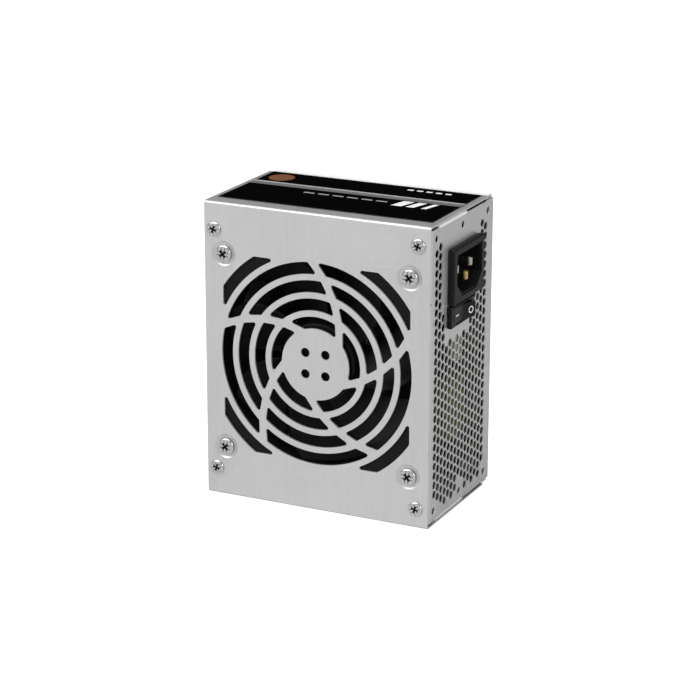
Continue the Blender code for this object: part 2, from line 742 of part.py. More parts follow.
def make_label():
    y_low, y_high = FRONT + LABEL_FRONT_MARGIN, BACK - LABEL_REAR_MARGIN
    x_reach = HALF_WIDTH - LABEL_END_MARGIN
    place = (0, (y_low + y_high) / 2, CASE_HEIGHT + LABEL_LIFT)
    half = (y_high - y_low) / 2
    film = box_mesh((-x_reach, -half, 0), (x_reach, half, LABEL_THICKNESS))
    piece("side_label", film, LABEL_BLACK, None, place)


# Screws


def screw_mesh(name, head_radius, head_height, radius, length, material, recess=True):
    """A pan-head screw along Y: the head on the -Y side of the origin and the shank on its +Y side."""
    profile = [
        (0, length),
        (radius, length),
        (radius, 0),
        (head_radius, 0),
        (head_radius, -head_height * 0.45),
        (head_radius * 0.8, -head_height),
        (0, -head_height),
    ]
    screw = turned(name, profile, material, None, steps=12)
    if recess:
        arm, half = head_radius * 0.52, head_radius * 0.11
        for slot, x, z in (("level", arm, half), ("upright", half, arm)):
            bm = box_mesh((-x, -2 * head_height, -z), (x, -0.4 * head_height, z))
            boolean(screw, cutter(f"{name}_{slot}", bm, screw))
    return screw


def make_face_screws():
    case_sizes = (CASE_SCREW_HEAD_RADIUS, CASE_SCREW_HEAD_HEIGHT, CASE_SCREW_RADIUS, CASE_SCREW_LENGTH)
    fan_sizes = (FAN_SCREW_HEAD_RADIUS, FAN_SCREW_HEAD_HEIGHT, FAN_SCREW_RADIUS, FAN_SCREW_LENGTH)
    for kind, places, sizes in (
        ("case_screw", case_screw_places(), case_sizes),
        ("fan_screw", fan_screw_places(), fan_sizes),
    ):
        for place, x, z in places:
            screw = screw_mesh(f"{kind}_{place}", *sizes, SCREW_STEEL)
            screw.location = (x, FRONT - GAP / 3, z)


# Fan


def make_fan():
    fan = group("fan", (0, FAN_FRONT, MIDDLE))
    make_fan_frame(fan)
    make_fan_rotor(fan)
    bearing_start = FAN_THICKNESS - FAN_BEARING_LENGTH
    turned(
        "fan_bearing",
        [
            (FAN_SHAFT_RADIUS + GAP, FAN_THICKNESS - GAP),
            (FAN_BEARING_RADIUS, FAN_THICKNESS - GAP),
            (FAN_BEARING_RADIUS, bearing_start),
            (FAN_SHAFT_RADIUS + GAP, bearing_start),
        ],
        BEARING_BRONZE,
        fan,
        steps=20,
    )
    stator_inner = FAN_BEARING_RADIUS + 2 * GAP + FAN_CUP_WALL
    stator_outer = FAN_HUB_RADIUS - FAN_CUP_WALL - 3 * GAP
    stator_end = FAN_THICKNESS - FAN_STRUT_DEPTH - GAP
    turned(
        "fan_stator",
        [
            (stator_inner, stator_end),
            (stator_outer, stator_end),
            (stator_outer, stator_end - 0.0050),
            (stator_inner, stator_end - 0.0050),
        ],
        COPPER,
        fan,
        steps=20,
    )


def make_fan_frame(fan):
    half = FAN_SIZE / 2
    block = box_mesh((-half, 0, -half), (half, FAN_THICKNESS, half))
    frame = piece("fan_frame", block, FAN_BLACK, fan, smooth=False)
    corners = frame.modifiers.new("Corners", "BEVEL")
    corners.width = FAN_CORNER_RADIUS
    corners.segments = 3
    corners.limit_method = "WEIGHT"
    weights = frame.data.attributes.new("bevel_weight_edge", "FLOAT", "EDGE")
    for edge in frame.data.edges:
        first, second = (frame.data.vertices[i].co for i in edge.vertices)
        weights.data[edge.index].value = float(abs(first.y - second.y) > half / 100)

    duct = bmesh.new()
    add_rod(duct, (0, -FAN_THICKNESS, 0), (0, 2 * FAN_THICKNESS, 0), FAN_DUCT_RADIUS, 56)
    boolean(frame, cutter("fan_duct", duct, fan))

    struts = bmesh.new()
    strut_low, strut_high = FAN_THICKNESS - FAN_STRUT_DEPTH, FAN_THICKNESS
    reach = FAN_DUCT_RADIUS + FAN_WALL / 2
    width = FAN_STRUT_WIDTH / 2
    add_box(struts, (-reach, strut_low, -width), (reach, strut_high, width))
    boolean(frame, cutter("fan_strut_level", struts, fan), "UNION")
    struts = bmesh.new()
    add_box(struts, (-width, strut_low, -reach), (width, strut_high, reach))
    boolean(frame, cutter("fan_strut_upright", struts, fan), "UNION")
    base = bmesh.new()
    add_rod(base, (0, strut_low + FAN_STRUT_DEPTH / 5, 0), (0, strut_high, 0), FAN_HUB_RADIUS, 28)
    boolean(frame, cutter("fan_base", base, fan), "UNION")
    boss = bmesh.new()
    boss_radius = FAN_BEARING_RADIUS + GAP + FAN_CUP_WALL
    add_rod(boss, (0, FAN_THICKNESS - FAN_BEARING_LENGTH, 0), (0, strut_high - GAP, 0), boss_radius, 20)
    boolean(frame, cutter("fan_boss", boss, fan), "UNION")

    bores = bmesh.new()
    add_rod(bores, (0, 0, 0), (0, 2 * FAN_THICKNESS, 0), FAN_BEARING_RADIUS + GAP, 20)
    for _, x, z in fan_screw_places():
        z -= MIDDLE
        add_rod(bores, (x, -FAN_THICKNESS, z), (x, 2 * FAN_THICKNESS, z), FAN_SCREW_RADIUS + GAP, 12)
    boolean(frame, cutter("fan_bores", bores, fan))


def make_fan_rotor(fan):
    """A cup over the stator with curved blades round it. It turns about the Y axis through its origin."""
    cup_top = 2 * GAP + 0.0006
    cup_end = FAN_THICKNESS - FAN_STRUT_DEPTH - 2 * GAP
    inner = FAN_HUB_RADIUS - FAN_CUP_WALL
    rotor = turned(
        "fan_rotor",
        [
            (0, cup_top + 2 * FAN_CUP_WALL),
            (inner, cup_top + 2 * FAN_CUP_WALL),
            (inner, cup_end),
            (FAN_HUB_RADIUS, cup_end),
            (FAN_HUB_RADIUS, cup_top + FAN_CUP_WALL / 2),
            (FAN_HUB_RADIUS - FAN_CUP_WALL / 2, cup_top),
            (0, cup_top),
        ],
        FAN_BLACK,
        fan,
        steps=28,
    )
    blades = bmesh.new()
    for number in range(FAN_BLADES):
        add_blade(blades, number * 2 * math.pi / FAN_BLADES, cup_top + FAN_CUP_WALL, cup_end)
    boolean(rotor, cutter("fan_blades", blades, fan), "UNION")
    socket = bmesh.new()
    shaft_start = cup_top + FAN_CUP_WALL
    add_rod(socket, (0, shaft_start, 0), (0, FAN_THICKNESS, 0), FAN_SHAFT_RADIUS + GAP, 12)
    boolean(rotor, cutter("fan_shaft_socket", socket, fan))
    shaft = bmesh.new()
    add_rod(shaft, (0, shaft_start + GAP, 0), (0, FAN_THICKNESS - 2 * GAP, 0), FAN_SHAFT_RADIUS, 12)
    piece("fan_shaft", shaft, SHAFT_STEEL, fan)


def add_blade(bm, turn, front, rear):
    """One blade: a grid swept back along its span and pitched along its chord, then thickened."""
    span_steps, chord_steps = 2, 2
    root = FAN_HUB_RADIUS - FAN_CUP_WALL / 2
    tip = FAN_DUCT_RADIUS - FAN_TIP_CLEARANCE
    grid = bmesh.ops.create_grid(bm, x_segments=span_steps, y_segments=chord_steps, size=0.5)["verts"]
    for vert in grid:
        along, across = vert.co.x + 0.5, vert.co.y
        radius = root + (tip - root) * along
        chord = math.radians(44 - 8 * along)
        angle = turn + math.radians(20) * along**2 + chord * across
        pitch = across + 0.25 * (0.25 - across**2)
        depth = (front + rear) / 2 + (rear - front - FAN_BLADE_THICKNESS) * pitch
        vert.co = (radius * math.cos(angle), depth, radius * math.sin(angle))
    faces = {face for vert in grid for face in vert.link_faces}
    bm.normal_update()
    bmesh.ops.solidify(bm, geom=list(faces), thickness=FAN_BLADE_THICKNESS)
    bmesh.ops.recalc_face_normals(bm, faces=bm.faces)


# Mains inlet


def make_inlet():
    inlet = group("inlet", (HALF_WIDTH, INLET_Y, INLET_Z))
    rim = GAP / 2
    flange = box_mesh(
        (rim, -INLET_WIDTH / 2, -INLET_HEIGHT / 2),
        (INLET_PROUD, INLET_WIDTH / 2, INLET_HEIGHT / 2),
    )
    housing = piece("inlet_housing", flange, INLET_BLACK, inlet, smooth=False)
    bevelled(housing, INLET_EDGE)
    body = box_mesh(
        (-INLET_BODY_DEPTH, -INLET_BODY_WIDTH / 2, -INLET_BODY_HEIGHT / 2),
        (INLET_PROUD / 2, INLET_BODY_WIDTH / 2, INLET_BODY_HEIGHT / 2),
    )
    boolean(housing, cutter("inlet_body", body, inlet), "UNION")
    mouth = outline_mesh("mouth", [inlet_mouth()], INLET_MOUTH_DEPTH * 2, FACE_INLET_SIDE)
    boolean(housing, cutter("inlet_mouth", mouth, inlet, (INLET_PROUD, 0, 0)))
    slots = bmesh.new()
    for _, y, z, _ in inlet_pins():
        add_box(slots, *pin_box(-2 * INLET_BODY_DEPTH, 0, y, z, GAP))
    boolean(housing, cutter("inlet_pin_slots", slots, inlet))
    for name, y, z, set_back in inlet_pins():
        low, high = pin_box(-INLET_BODY_DEPTH - PIN_TAIL, INLET_PROUD - set_back, 0, 0, 0)
        plating = BRASS if "earth" in name else TIN
        pin = piece(name, box_mesh(low, high), plating, inlet, (0, y, z), smooth=False)
        bevelled(pin, PIN_THICKNESS / 4)


def inlet_mouth():
    """The opening, with two corners cut off on the earth pin's side."""
    y, z, cut = INLET_MOUTH_WIDTH / 2, INLET_MOUTH_HEIGHT / 2, INLET_MOUTH_CHAMFER
    return [(-y, z), (-y, cut - z), (cut - y, -z), (y - cut, -z), (y, cut - z), (y, z)]


def inlet_pins():
    """(name, Y, Z, depth of its tip behind the rim)"""
    yield "inlet_live_pin", -PIN_SPACING / 2, PIN_LINE, PIN_SET_BACK
    yield "inlet_neutral_pin", PIN_SPACING / 2, PIN_LINE, PIN_SET_BACK
    yield "inlet_earth_pin", 0, EARTH_LINE, EARTH_SET_BACK


def pin_box(start, end, y, z, clearance):
    half_y, half_z = PIN_THICKNESS / 2 + clearance, PIN_HEIGHT / 2 + clearance
    return (start, y - half_y, z - half_z), (end, y + half_y, z + half_z)


# Rocker switch


def make_switch():
    switch = group("switch", (HALF_WIDTH, SWITCH_Y, SWITCH_Z))
    bezel = box_mesh(
        (GAP / 2, -SWITCH_WIDTH / 2, -SWITCH_HEIGHT / 2),
        (SWITCH_PROUD, SWITCH_WIDTH / 2, SWITCH_HEIGHT / 2),
    )
    housing = piece("switch_housing", bezel, SWITCH_BLACK, switch, smooth=False)
    bevelled(housing, SWITCH_EDGE)
    body = box_mesh(
        (-SWITCH_BODY_DEPTH, -SWITCH_BODY_WIDTH / 2, -SWITCH_BODY_HEIGHT / 2),
        (SWITCH_PROUD / 2, SWITCH_BODY_WIDTH / 2, SWITCH_BODY_HEIGHT / 2),
    )
    boolean(housing, cutter("switch_body", body, switch), "UNION")
    dip = ROCKER_LENGTH / 2 * math.sin(ROCKER_TILT)
    well_floor = ROCKER_AXIS_DEPTH + dip + ROCKER_FOOT + 2 * ROCKER_CLEARANCE
    well = outline_mesh(
        "well",
        [stadium(ROCKER_LENGTH + 2 * ROCKER_CLEARANCE, ROCKER_HEIGHT + 2 * ROCKER_CLEARANCE)],
        2 * (well_floor + SWITCH_PROUD),
        FACE_INLET_SIDE,
    )
    boolean(housing, cutter("switch_well", well, switch, (SWITCH_PROUD, 0, 0)))
    holes = bmesh.new()
    axis_x = -ROCKER_AXIS_DEPTH
    reach = SWITCH_BODY_HEIGHT
    add_rod(holes, (axis_x, 0, -reach), (axis_x, 0, reach), ROCKER_TRUNNION_RADIUS + GAP, 12)
    for across in (-1, 1):
        y = across * TERMINAL_SPACING / 2
        add_box(holes, *terminal_box(-2 * SWITCH_BODY_DEPTH, 0, y, GAP))
    boolean(housing, cutter("switch_holes", holes, switch))
    for name, across in (("switch_terminal_in", -1), ("switch_terminal_out", 1)):
        low, high = terminal_box(-SWITCH_BODY_DEPTH - TERMINAL_LENGTH, -well_floor - SWITCH_PROUD, 0, 0)
        piece(name, box_mesh(low, high), TIN, switch, (0, across * TERMINAL_SPACING / 2, 0), smooth=False)
    make_rocker(switch, axis_x)


def terminal_box(start, end, y, clearance):
    half_y, half_z = (side / 2 + clearance for side in TERMINAL_SECTION)
    return (start, y - half_y, -half_z), (end, y + half_y, half_z)


def make_rocker(switch, axis_x):
    """The rocker, pressed in at its -Y end. Its origin is on its pivot, which is parallel to Z."""
    pivot = group("rocker_pivot", (axis_x, 0, 0))
    pivot.parent = switch
    pivot.rotation_euler = (0, 0, -ROCKER_TILT)
    sweep = ROCKER_LENGTH / 2
    end_angle = math.asin(ROCKER_END_RISE / sweep)
    foot_angle = math.asin(ROCKER_FOOT / sweep)
    right = arc(sweep, -foot_angle, end_angle, 4)
    left = [(-x, y) for x, y in reversed(right)]
    profile = right + [(0, ROCKER_MIDDLE_RISE)] + left
    # The profile's x becomes Y and its y becomes X.
    side_on = Matrix(((0, 1, 0, 0), (1, 0, 0, 0), (0, 0, 1, 0), (0, 0, 0, 1)))
    bm = outline_mesh("rocker", [profile], 2 * ROCKER_HEIGHT, side_on)
    rocker = piece("switch_rocker", bm, SWITCH_BLACK, pivot, smooth=False)
    plan = outline_mesh("plan", [stadium(ROCKER_LENGTH, ROCKER_HEIGHT)], 4 * ROCKER_HEIGHT, FACE_INLET_SIDE)
    boolean(rocker, cutter("rocker_plan", plan, pivot), "INTERSECT")
    trunnion = bmesh.new()
    reach = ROCKER_HEIGHT / 2 + ROCKER_CLEARANCE + SWITCH_WALL / 2
    add_rod(trunnion, (0, 0, -reach), (0, 0, reach), ROCKER_TRUNNION_RADIUS, 12)
    boolean(rocker, cutter("rocker_trunnion", trunnion, pivot), "UNION")


# Cable outlet


def make_outlet():
    """A bush in the cable panel, snapped in from outside, with an open bore for the output cables."""
    bore = OUTLET_RADIUS - OUTLET_WALL
    lip = OUTLET_RADIUS + OUTLET_LIP
    inside = SHEET + GAP
    clip = OUTLET_RADIUS + OUTLET_LIP / 2
    turned(
        "cable_outlet_bush",
        [
            (bore, inside + OUTLET_LIP_THICKNESS),
            (clip, inside),
            (OUTLET_RADIUS, inside),
            (OUTLET_RADIUS, -GAP),
            (lip, -GAP),
            (lip, -OUTLET_LIP_THICKNESS),
            (bore, -OUTLET_LIP_THICKNESS),
        ],
        RUBBER,
        None,
        (-HALF_WIDTH, FRONT + OUTLET_CENTRE, OUTLET_HEIGHT),
        axis="X",
        steps=24,
    )


# Circuit board and what stands on it. Places are measured from the corner by the inlet and the labelled side.


def make_board():
    board = group("board", (HALF_WIDTH, BOARD_FRONT, CASE_HEIGHT))
    far_x, far_z = CASE_WIDTH - BOARD_MARGIN, CASE_HEIGHT - BOARD_MARGIN
    plate = piece(
        "circuit_board",
        box_mesh((-far_x, 0, -far_z), (-BOARD_MARGIN, BOARD_THICKNESS, -BOARD_MARGIN)),
        BOARD,
        board,
        smooth=False,
    )
    holes = bmesh.new()
    sheet_y = BOARD_THICKNESS + GAP + STANDOFF_LENGTH - INSULATION - GAP
    for _, x, z in board_corners():
        add_rod(holes, (x, -SHEET, z), (x, BOARD_THICKNESS + SHEET, z), BOARD_SCREW_RADIUS + GAP, 12)
    boolean(plate, cutter("board_holes", holes, board))
    sheet = piece(
        "insulating_sheet",
        box_mesh((-far_x, sheet_y, -far_z), (-BOARD_MARGIN, sheet_y + INSULATION, -BOARD_MARGIN)),
        FILM,
        board,
        smooth=False,
    )
    clearance = bmesh.new()
    for _, x, z in board_corners():
        add_rod(clearance, (x, 0, z), (x, 2 * sheet_y, z), STANDOFF_RADIUS + GAP, 8)
    boolean(sheet, cutter("sheet_holes", clearance, board))
    for name, x, z in board_corners():
        make_standoff(board, name, x, z)
    return board


def board_corners():
    """(name, x, z) of the four standoffs, from the board's group."""
    inset = BOARD_MARGIN + STANDOFF_INSET
    for height, z in (("upper", -inset), ("lower", inset - CASE_HEIGHT)):
        yield f"{height}_right", -inset, z
        yield f"{height}_left", inset - CASE_WIDTH, z


def make_standoff(board, name, x, z):
    start = BOARD_THICKNESS + GAP
    bore = BOARD_SCREW_RADIUS + GAP
    turned(
        f"standoff_{name}",
        [
            (0, start + STANDOFF_LENGTH - GAP / 2),
            (STANDOFF_RADIUS, start + STANDOFF_LENGTH - GAP / 2),
            (STANDOFF_RADIUS, start),
            (bore, start),
            (bore, start + STANDOFF_LENGTH * 0.75),
            (0, start + STANDOFF_LENGTH * 0.75),
        ],
        BRASS,
        board,
        (x, 0, z),
        steps=8,
    )
    screw = screw_mesh(
        f"board_screw_{name}",
        BOARD_SCREW_HEAD_RADIUS,
        BOARD_SCREW_HEAD_HEIGHT,
        BOARD_SCREW_RADIUS,
        BOARD_THICKNESS + STANDOFF_LENGTH * 0.6,
        SCREW_STEEL,
        recess=False,
    )
    screw.parent = board
    screw.location = (x, -GAP, z)


def standing_box(board, name, x, z, size_x, size_z, height, material, lift=GAP, bevel=0.0):
    """A block that stands on the board, height and lift measured towards the fan."""
    low = (-size_x / 2, -lift - height, -size_z / 2)
    high = (size_x / 2, -lift, size_z / 2)
    block = piece(name, box_mesh(low, high), material, board, (x, 0, z), smooth=False)
    return bevelled(block, bevel) if bevel else block


def standing_can(board, name, x, z, radius, height):
    """An electrolytic capacitor: a sleeved can."""
    top = -GAP - height
    turned(
        name,
        [
            (0, -GAP),
            (radius, -GAP),
            (radius, top + CAN_EDGE),
            (radius - CAN_EDGE, top),
            (0, top),
        ],
        CAPACITOR_SLEEVE,
        board,
        (x, 0, z),
        steps=14,
    )


def standing_ring(board, name, x, z, outer, inner, thickness, core, winding, turns):
    """A toroid standing on the board, its axis along Z, with a wound band of separate bulges round it."""
    middle = -GAP - outer - WINDING_THICKNESS
    rim = outer - WINDING_THICKNESS
    face = thickness / 2 + WINDING_OVERHANG
    turned(
        f"{name}_core",
        [
            (inner, thickness / 2),
            (rim, thickness / 2),
            (rim, -thickness / 2),
            (inner, -thickness / 2),
        ],
        core,
        board,
        (x, middle, z),
        axis="Z",
        steps=16,
    )
    wrap = turned(
        f"{name}_winding",
        [
            (inner - WINDING_THICKNESS, face),
            (outer, face),
            (outer, -face),
            (inner - WINDING_THICKNESS, -face),
        ],
        winding,
        board,
        (x, middle, z),
        axis="Z",
        steps=turns,
    )
    hollow = bmesh.new()
    half = thickness / 2 + GAP
    add_rod(hollow, (0, 0, -half), (0, 0, half), rim + GAP, 16)
    core_hole = cutter(f"{name}_hollow", hollow, wrap)
    plug = bmesh.new()
    add_rod(plug, (0, 0, -2 * half), (0, 0, 2 * half), inner - GAP, 16)
    boolean(core_hole, cutter(f"{name}_plug", plug, wrap))
    boolean(wrap, core_hole)
    # The winding stops short of closing the ring, which leaves the core bare for a stretch at its foot.
    opening = box_mesh((-outer / 4, 0, -thickness), (outer / 4, 2 * outer, thickness))
    boolean(wrap, cutter(f"{name}_opening", opening, wrap))


def make_transformer(board, name, x, z, width, length, height):
    """A ferrite core of two outer legs joined over the top, round a wound bobbin."""
    leg = width * 0.16
    core = standing_box(board, f"{name}_core", x, z, width, length * 0.55, height, FERRITE, lift=CORE_LIFT)
    window = box_mesh(
        (leg - width / 2, -CORE_LIFT - height + leg, -length),
        (width / 2 - leg, GAP, length),
    )
    boolean(core, cutter(f"{name}_window", window, core))
    bobbin = width / 2 - leg - GAP
    standing_box(
        board,
        f"{name}_winding",
        x,
        z,
        2 * bobbin,
        length,
        height + CORE_LIFT - leg - 2 * GAP,
        COPPER,
        bevel=WINDING_EDGE,
    )


def make_heatsink(board, name, x, z, width, height, fins):
    """An upright aluminium plate with short fins along its upper edge."""
    thickness = HEATSINK_THICKNESS
    plate = standing_box(board, name, x, z, width, thickness, height, ALUMINIUM)
    combs = bmesh.new()
    for fin in range(fins):
        at = (fin - (fins - 1) / 2) * width / fins
        low = (at - FIN_THICKNESS / 2, -2 * GAP - height, thickness / 4)
        add_box(combs, low, (at + FIN_THICKNESS / 2, -GAP - height * 0.3, thickness / 2 + FIN_REACH))
    boolean(plate, cutter(f"{name}_fins", combs, plate), "UNION")
    return z - thickness / 2 - GAP


def stand_package(board, name, x, face):
    """A moulded package on the board, its back against the face of a heatsink."""
    width, thickness, height = 0.010, 0.0045, 0.016
    standing_box(board, name, x, face - thickness / 2, width, thickness, height, PACKAGE, lift=0.006)


def make_board_parts(board):
    standing_ring(board, "line_choke", -0.040, -0.022, 0.0105, 0.0050, 0.0085, FERRITE, COPPER, 16)
    standing_box(board, "line_capacitor", -0.0115, -0.088, 0.0085, 0.026, 0.017, BOX_YELLOW, bevel=0.0008)
    fuse = bmesh.new()
    add_rod(fuse, (0, 0, -0.0095), (0, 0, 0.0095), 0.0028, 16)
    piece("fuse", fuse, FUSE_SLEEVE, board, (-0.0115, -0.0032, -0.060))
    bridge = (-0.0385, -0.0085, 0.021, 0.0042, 0.019)
    standing_box(board, "bridge_rectifier", *bridge, PACKAGE, lift=0.003, bevel=0.0006)
    standing_can(board, "bulk_capacitor", -0.078, -0.022, 0.0125, 0.0340)
    face = make_heatsink(board, "primary_heatsink", -0.064, -0.0575, 0.050, 0.030, 7)
    for number, x in enumerate((-0.078, -0.052)):
        stand_package(board, f"switching_transistor_{number + 1}", x, face)
    make_transformer(board, "main_transformer", -0.0545, -0.0785, 0.032, 0.022, 0.027)
    make_transformer(board, "standby_transformer", -0.0300, -0.0640, 0.016, 0.014, 0.015)
    face = make_heatsink(board, "secondary_heatsink", -0.054, -0.0945, 0.052, 0.028, 7)
    for number, x in enumerate((-0.050, -0.036)):
        stand_package(board, f"output_rectifier_{number + 1}", x, face)
    standing_ring(board, "output_choke", -0.070, -0.1080, 0.0110, 0.0050, 0.0085, POWDER_CORE, COPPER, 16)
    for number in range(OUTPUT_CAPACITORS):
        z = -0.078 - 0.0125 * number
        standing_can(board, f"output_capacitor_{number + 1}", -0.0900, z, 0.0048, 0.0240)


# Internal leads, held at both ends


def lead(name, route, radius, material):
    """A wire along a smooth curve through the route's points."""
    curve = bpy.data.curves.new(name, "CURVE")
    curve.dimensions = "3D"
    curve.bevel_depth = radius
    curve.bevel_resolution = 0
    curve.use_fill_caps = True
    points = smooth_points([Vector(p) for p in route], 3)
    spline = curve.splines.new("POLY")
    spline.points.add(len(points) - 1)
    for point, place in zip(spline.points, points):
        point.co = (*place, 1)
    curve.materials.append(material)
    obj = bpy.data.objects.new(name, curve)
    PARTS.objects.link(obj)


def smooth_points(route, steps):
    """Points of a Catmull-Rom curve through the route."""
    ends = [2 * route[0] - route[1], *route, 2 * route[-1] - route[-2]]
    points = [route[0]]
    for before, start, end, after in zip(ends, ends[1:], ends[2:], ends[3:]):
        for i in range(1, steps + 1):
            t = i / steps
            points.append(
                0.5
                * (
                    2 * start
                    + (end - before) * t
                    + (2 * before - 5 * start + 4 * end - after) * t**2
                    + (3 * start - before - 3 * end + after) * t**3
                )
            )
    return points


def make_leads():
    tail_x = HALF_WIDTH - INLET_BODY_DEPTH - PIN_TAIL - GAP
    terminal_x = HALF_WIDTH - SWITCH_BODY_DEPTH - TERMINAL_LENGTH - GAP
    board_y = BOARD_FRONT - GAP
    live_y, neutral_y = INLET_Y - PIN_SPACING / 2, INLET_Y + PIN_SPACING / 2
    pin_z, earth_z = INLET_Z + PIN_LINE, INLET_Z + EARTH_LINE
    in_y, out_y = SWITCH_Y - TERMINAL_SPACING / 2, SWITCH_Y + TERMINAL_SPACING / 2
    wire = LEAD_RADIUS
    brown = finish("brown_lead", (0.16, 0.06, 0.03), 0.4)
    lead(
        "live_lead",
        [
            (tail_x - wire, live_y, pin_z),
            (tail_x - 0.004, live_y, pin_z - 0.002),
            (tail_x - 0.003, (live_y + in_y) / 2, (pin_z + SWITCH_Z) / 2),
            (terminal_x - 0.005, in_y, SWITCH_Z + 0.001),
            (terminal_x - wire, in_y, SWITCH_Z),
        ],
        wire,
        brown,
    )
    lead(
        "switched_live_lead",
        [
            (terminal_x - wire, out_y, SWITCH_Z),
            (terminal_x - 0.004, out_y + 0.001, SWITCH_Z - 0.001),
            (terminal_x - 0.003, (out_y + board_y) / 2, SWITCH_Z - 0.005),
            (terminal_x + 0.004, board_y - 0.004, SWITCH_Z - 0.008),
            (terminal_x + 0.004, board_y, SWITCH_Z - 0.008),
        ],
        wire,
        finish("black_lead", (0.02, 0.02, 0.02), 0.4),
    )
    lead(
        "neutral_lead",
        [
            (tail_x - wire, neutral_y, pin_z),
            (tail_x - 0.003, neutral_y + 0.001, pin_z - 0.001),
            (tail_x - 0.001, (neutral_y + board_y) / 2, pin_z - 0.004),
            (tail_x + 0.002, board_y - 0.003, pin_z - 0.006),
            (tail_x + 0.002, board_y, pin_z - 0.006),
        ],
        wire,
        finish("blue_lead", (0.03, 0.10, 0.35), 0.4),
    )
    lead(
        "earth_lead",
        [
            (tail_x - wire, INLET_Y, earth_z),
            (tail_x - 0.004, INLET_Y + 0.001, earth_z - 0.001),
            (tail_x - 0.004, (INLET_Y + board_y) / 2, earth_z - 0.004),
            (tail_x, board_y - 0.003, earth_z - 0.008),
            (tail_x, board_y, earth_z - 0.008),
        ],
        wire,
        finish("green_yellow_lead", (0.25, 0.42, 0.05), 0.4),
    )
    fan_rear = FAN_FRONT + FAN_THICKNESS
    fan_x = FAN_SIZE / 2 - 0.010
    lead(
        "fan_lead",
        [
            (fan_x, fan_rear + GAP, MIDDLE - 0.014),
            (fan_x, fan_rear + 0.006, MIDDLE - 0.015),
            (fan_x - 0.006, (fan_rear + board_y) / 2, MIDDLE - 0.017),
            (fan_x - 0.012, board_y - 0.006, MIDDLE - 0.018),
            (fan_x - 0.012, board_y, MIDDLE - 0.018),
        ],
        FAN_LEAD_RADIUS,
        finish("grey_lead", (0.08, 0.08, 0.08), 0.4),
    )


def main():
    make_cover()
    make_tray()
    make_label()
    make_face_screws()
    make_fan()
    make_inlet()
    make_switch()
    make_outlet()
    board = make_board()
    make_board_parts(board)
    make_leads()


main()
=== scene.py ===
"""Finished pieces of a small computer power supply, built round its CAD frame. Sizes are in metres."""

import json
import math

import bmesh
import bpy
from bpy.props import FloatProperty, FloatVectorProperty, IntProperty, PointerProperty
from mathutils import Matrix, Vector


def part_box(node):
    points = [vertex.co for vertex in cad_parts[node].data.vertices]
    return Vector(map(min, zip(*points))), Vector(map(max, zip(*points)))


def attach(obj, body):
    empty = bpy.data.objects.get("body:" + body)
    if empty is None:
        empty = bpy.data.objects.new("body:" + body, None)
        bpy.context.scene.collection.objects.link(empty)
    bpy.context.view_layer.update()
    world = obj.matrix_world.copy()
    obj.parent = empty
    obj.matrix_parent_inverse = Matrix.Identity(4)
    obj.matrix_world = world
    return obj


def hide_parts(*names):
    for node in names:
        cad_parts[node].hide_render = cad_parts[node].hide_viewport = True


bl_info = {
    "name": "Small Power Supply Finishes",
    "version": (1, 0, 0),
    "blender": (4, 5, 0),
    "location": "View3D > Sidebar > Power Supply",
    "description": "Builds the finished case, fan, inlet, switch and inner parts of a small power supply",
    "category": "Object",
}

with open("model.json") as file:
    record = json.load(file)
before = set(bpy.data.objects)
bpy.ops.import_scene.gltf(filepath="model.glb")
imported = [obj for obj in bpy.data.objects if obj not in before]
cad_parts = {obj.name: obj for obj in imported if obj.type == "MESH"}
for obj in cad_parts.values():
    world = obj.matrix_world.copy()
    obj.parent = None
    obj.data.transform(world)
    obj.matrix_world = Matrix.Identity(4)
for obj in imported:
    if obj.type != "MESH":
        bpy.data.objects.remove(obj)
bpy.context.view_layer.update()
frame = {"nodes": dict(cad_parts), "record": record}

COVER_LOW, COVER_HIGH = (Vector(corner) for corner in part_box("fan_cover"))
TRAY_LOW, TRAY_HIGH = (Vector(corner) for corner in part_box("base_tray"))
HALF_WIDTH = COVER_HIGH.x
FRONT = COVER_LOW.y
BACK = TRAY_HIGH.y
TOP = COVER_HIGH.z
MIDDLE = TOP / 2
SHEET = 0.0008
FOLD_RADIUS = 0.0010
GAP = 0.0003
VENT_SHEET = 0.0005
STRIP_INSET = 0.00003


# Settings


def length(name, description, default):
    kind = {"min": 0.0, "precision": 5, "subtype": "DISTANCE", "unit": "LENGTH"}
    return FloatProperty(name=name, description=description, default=default, **kind)


def colour(name, description, default):
    return FloatVectorProperty(
        name=name, description=description, default=default, size=3, min=0.0, max=1.0, subtype="COLOR"
    )


class CaseSettings(bpy.types.PropertyGroup):
    steel: colour("Steel", "Colour of the plated case sheets", (0.60, 0.60, 0.60))
    label: colour("Label", "Colour of the label's film", (0.002, 0.002, 0.0022))
    stripe: colour("Stripe", "Colour of the label's band and border", (0.30, 0.30, 0.30))
    badge: colour("Badge", "Colour of the round badge on the label", (0.32, 0.12, 0.045))
    slot_width: length("Slot width", "Width of every ring slot in the grille", 0.0050)
    web_width: length("Web width", "Width of the rings between the slots", 0.0025)
    hub_radius: length("Hub radius", "Radius of the grille's solid middle", 0.0150)
    arm_width: length("Arm width", "Width of the grille's curved arms", 0.0030)
    corner_round: length("Slot corner", "Rounding of the slots' corners", 0.0008)
    edge_round: length("Edge", "Rounding of the sheets' cut edges", 0.00012)
    vent_flats: length("Vent hole", "Width across flats of each vent hole", 0.0032)
    vent_pitch: length("Vent pitch", "Height from one vent hole to the next", 0.0040)


class FanSettings(bpy.types.PropertyGroup):
    plastic: colour("Plastic", "Colour of the fan", (0.004, 0.004, 0.0045))
    blades: IntProperty(name="Blades", description="Number of fan blades", default=7, min=3, max=15)
    blade_thickness: length("Blade", "Thickness of each blade", 0.0011)


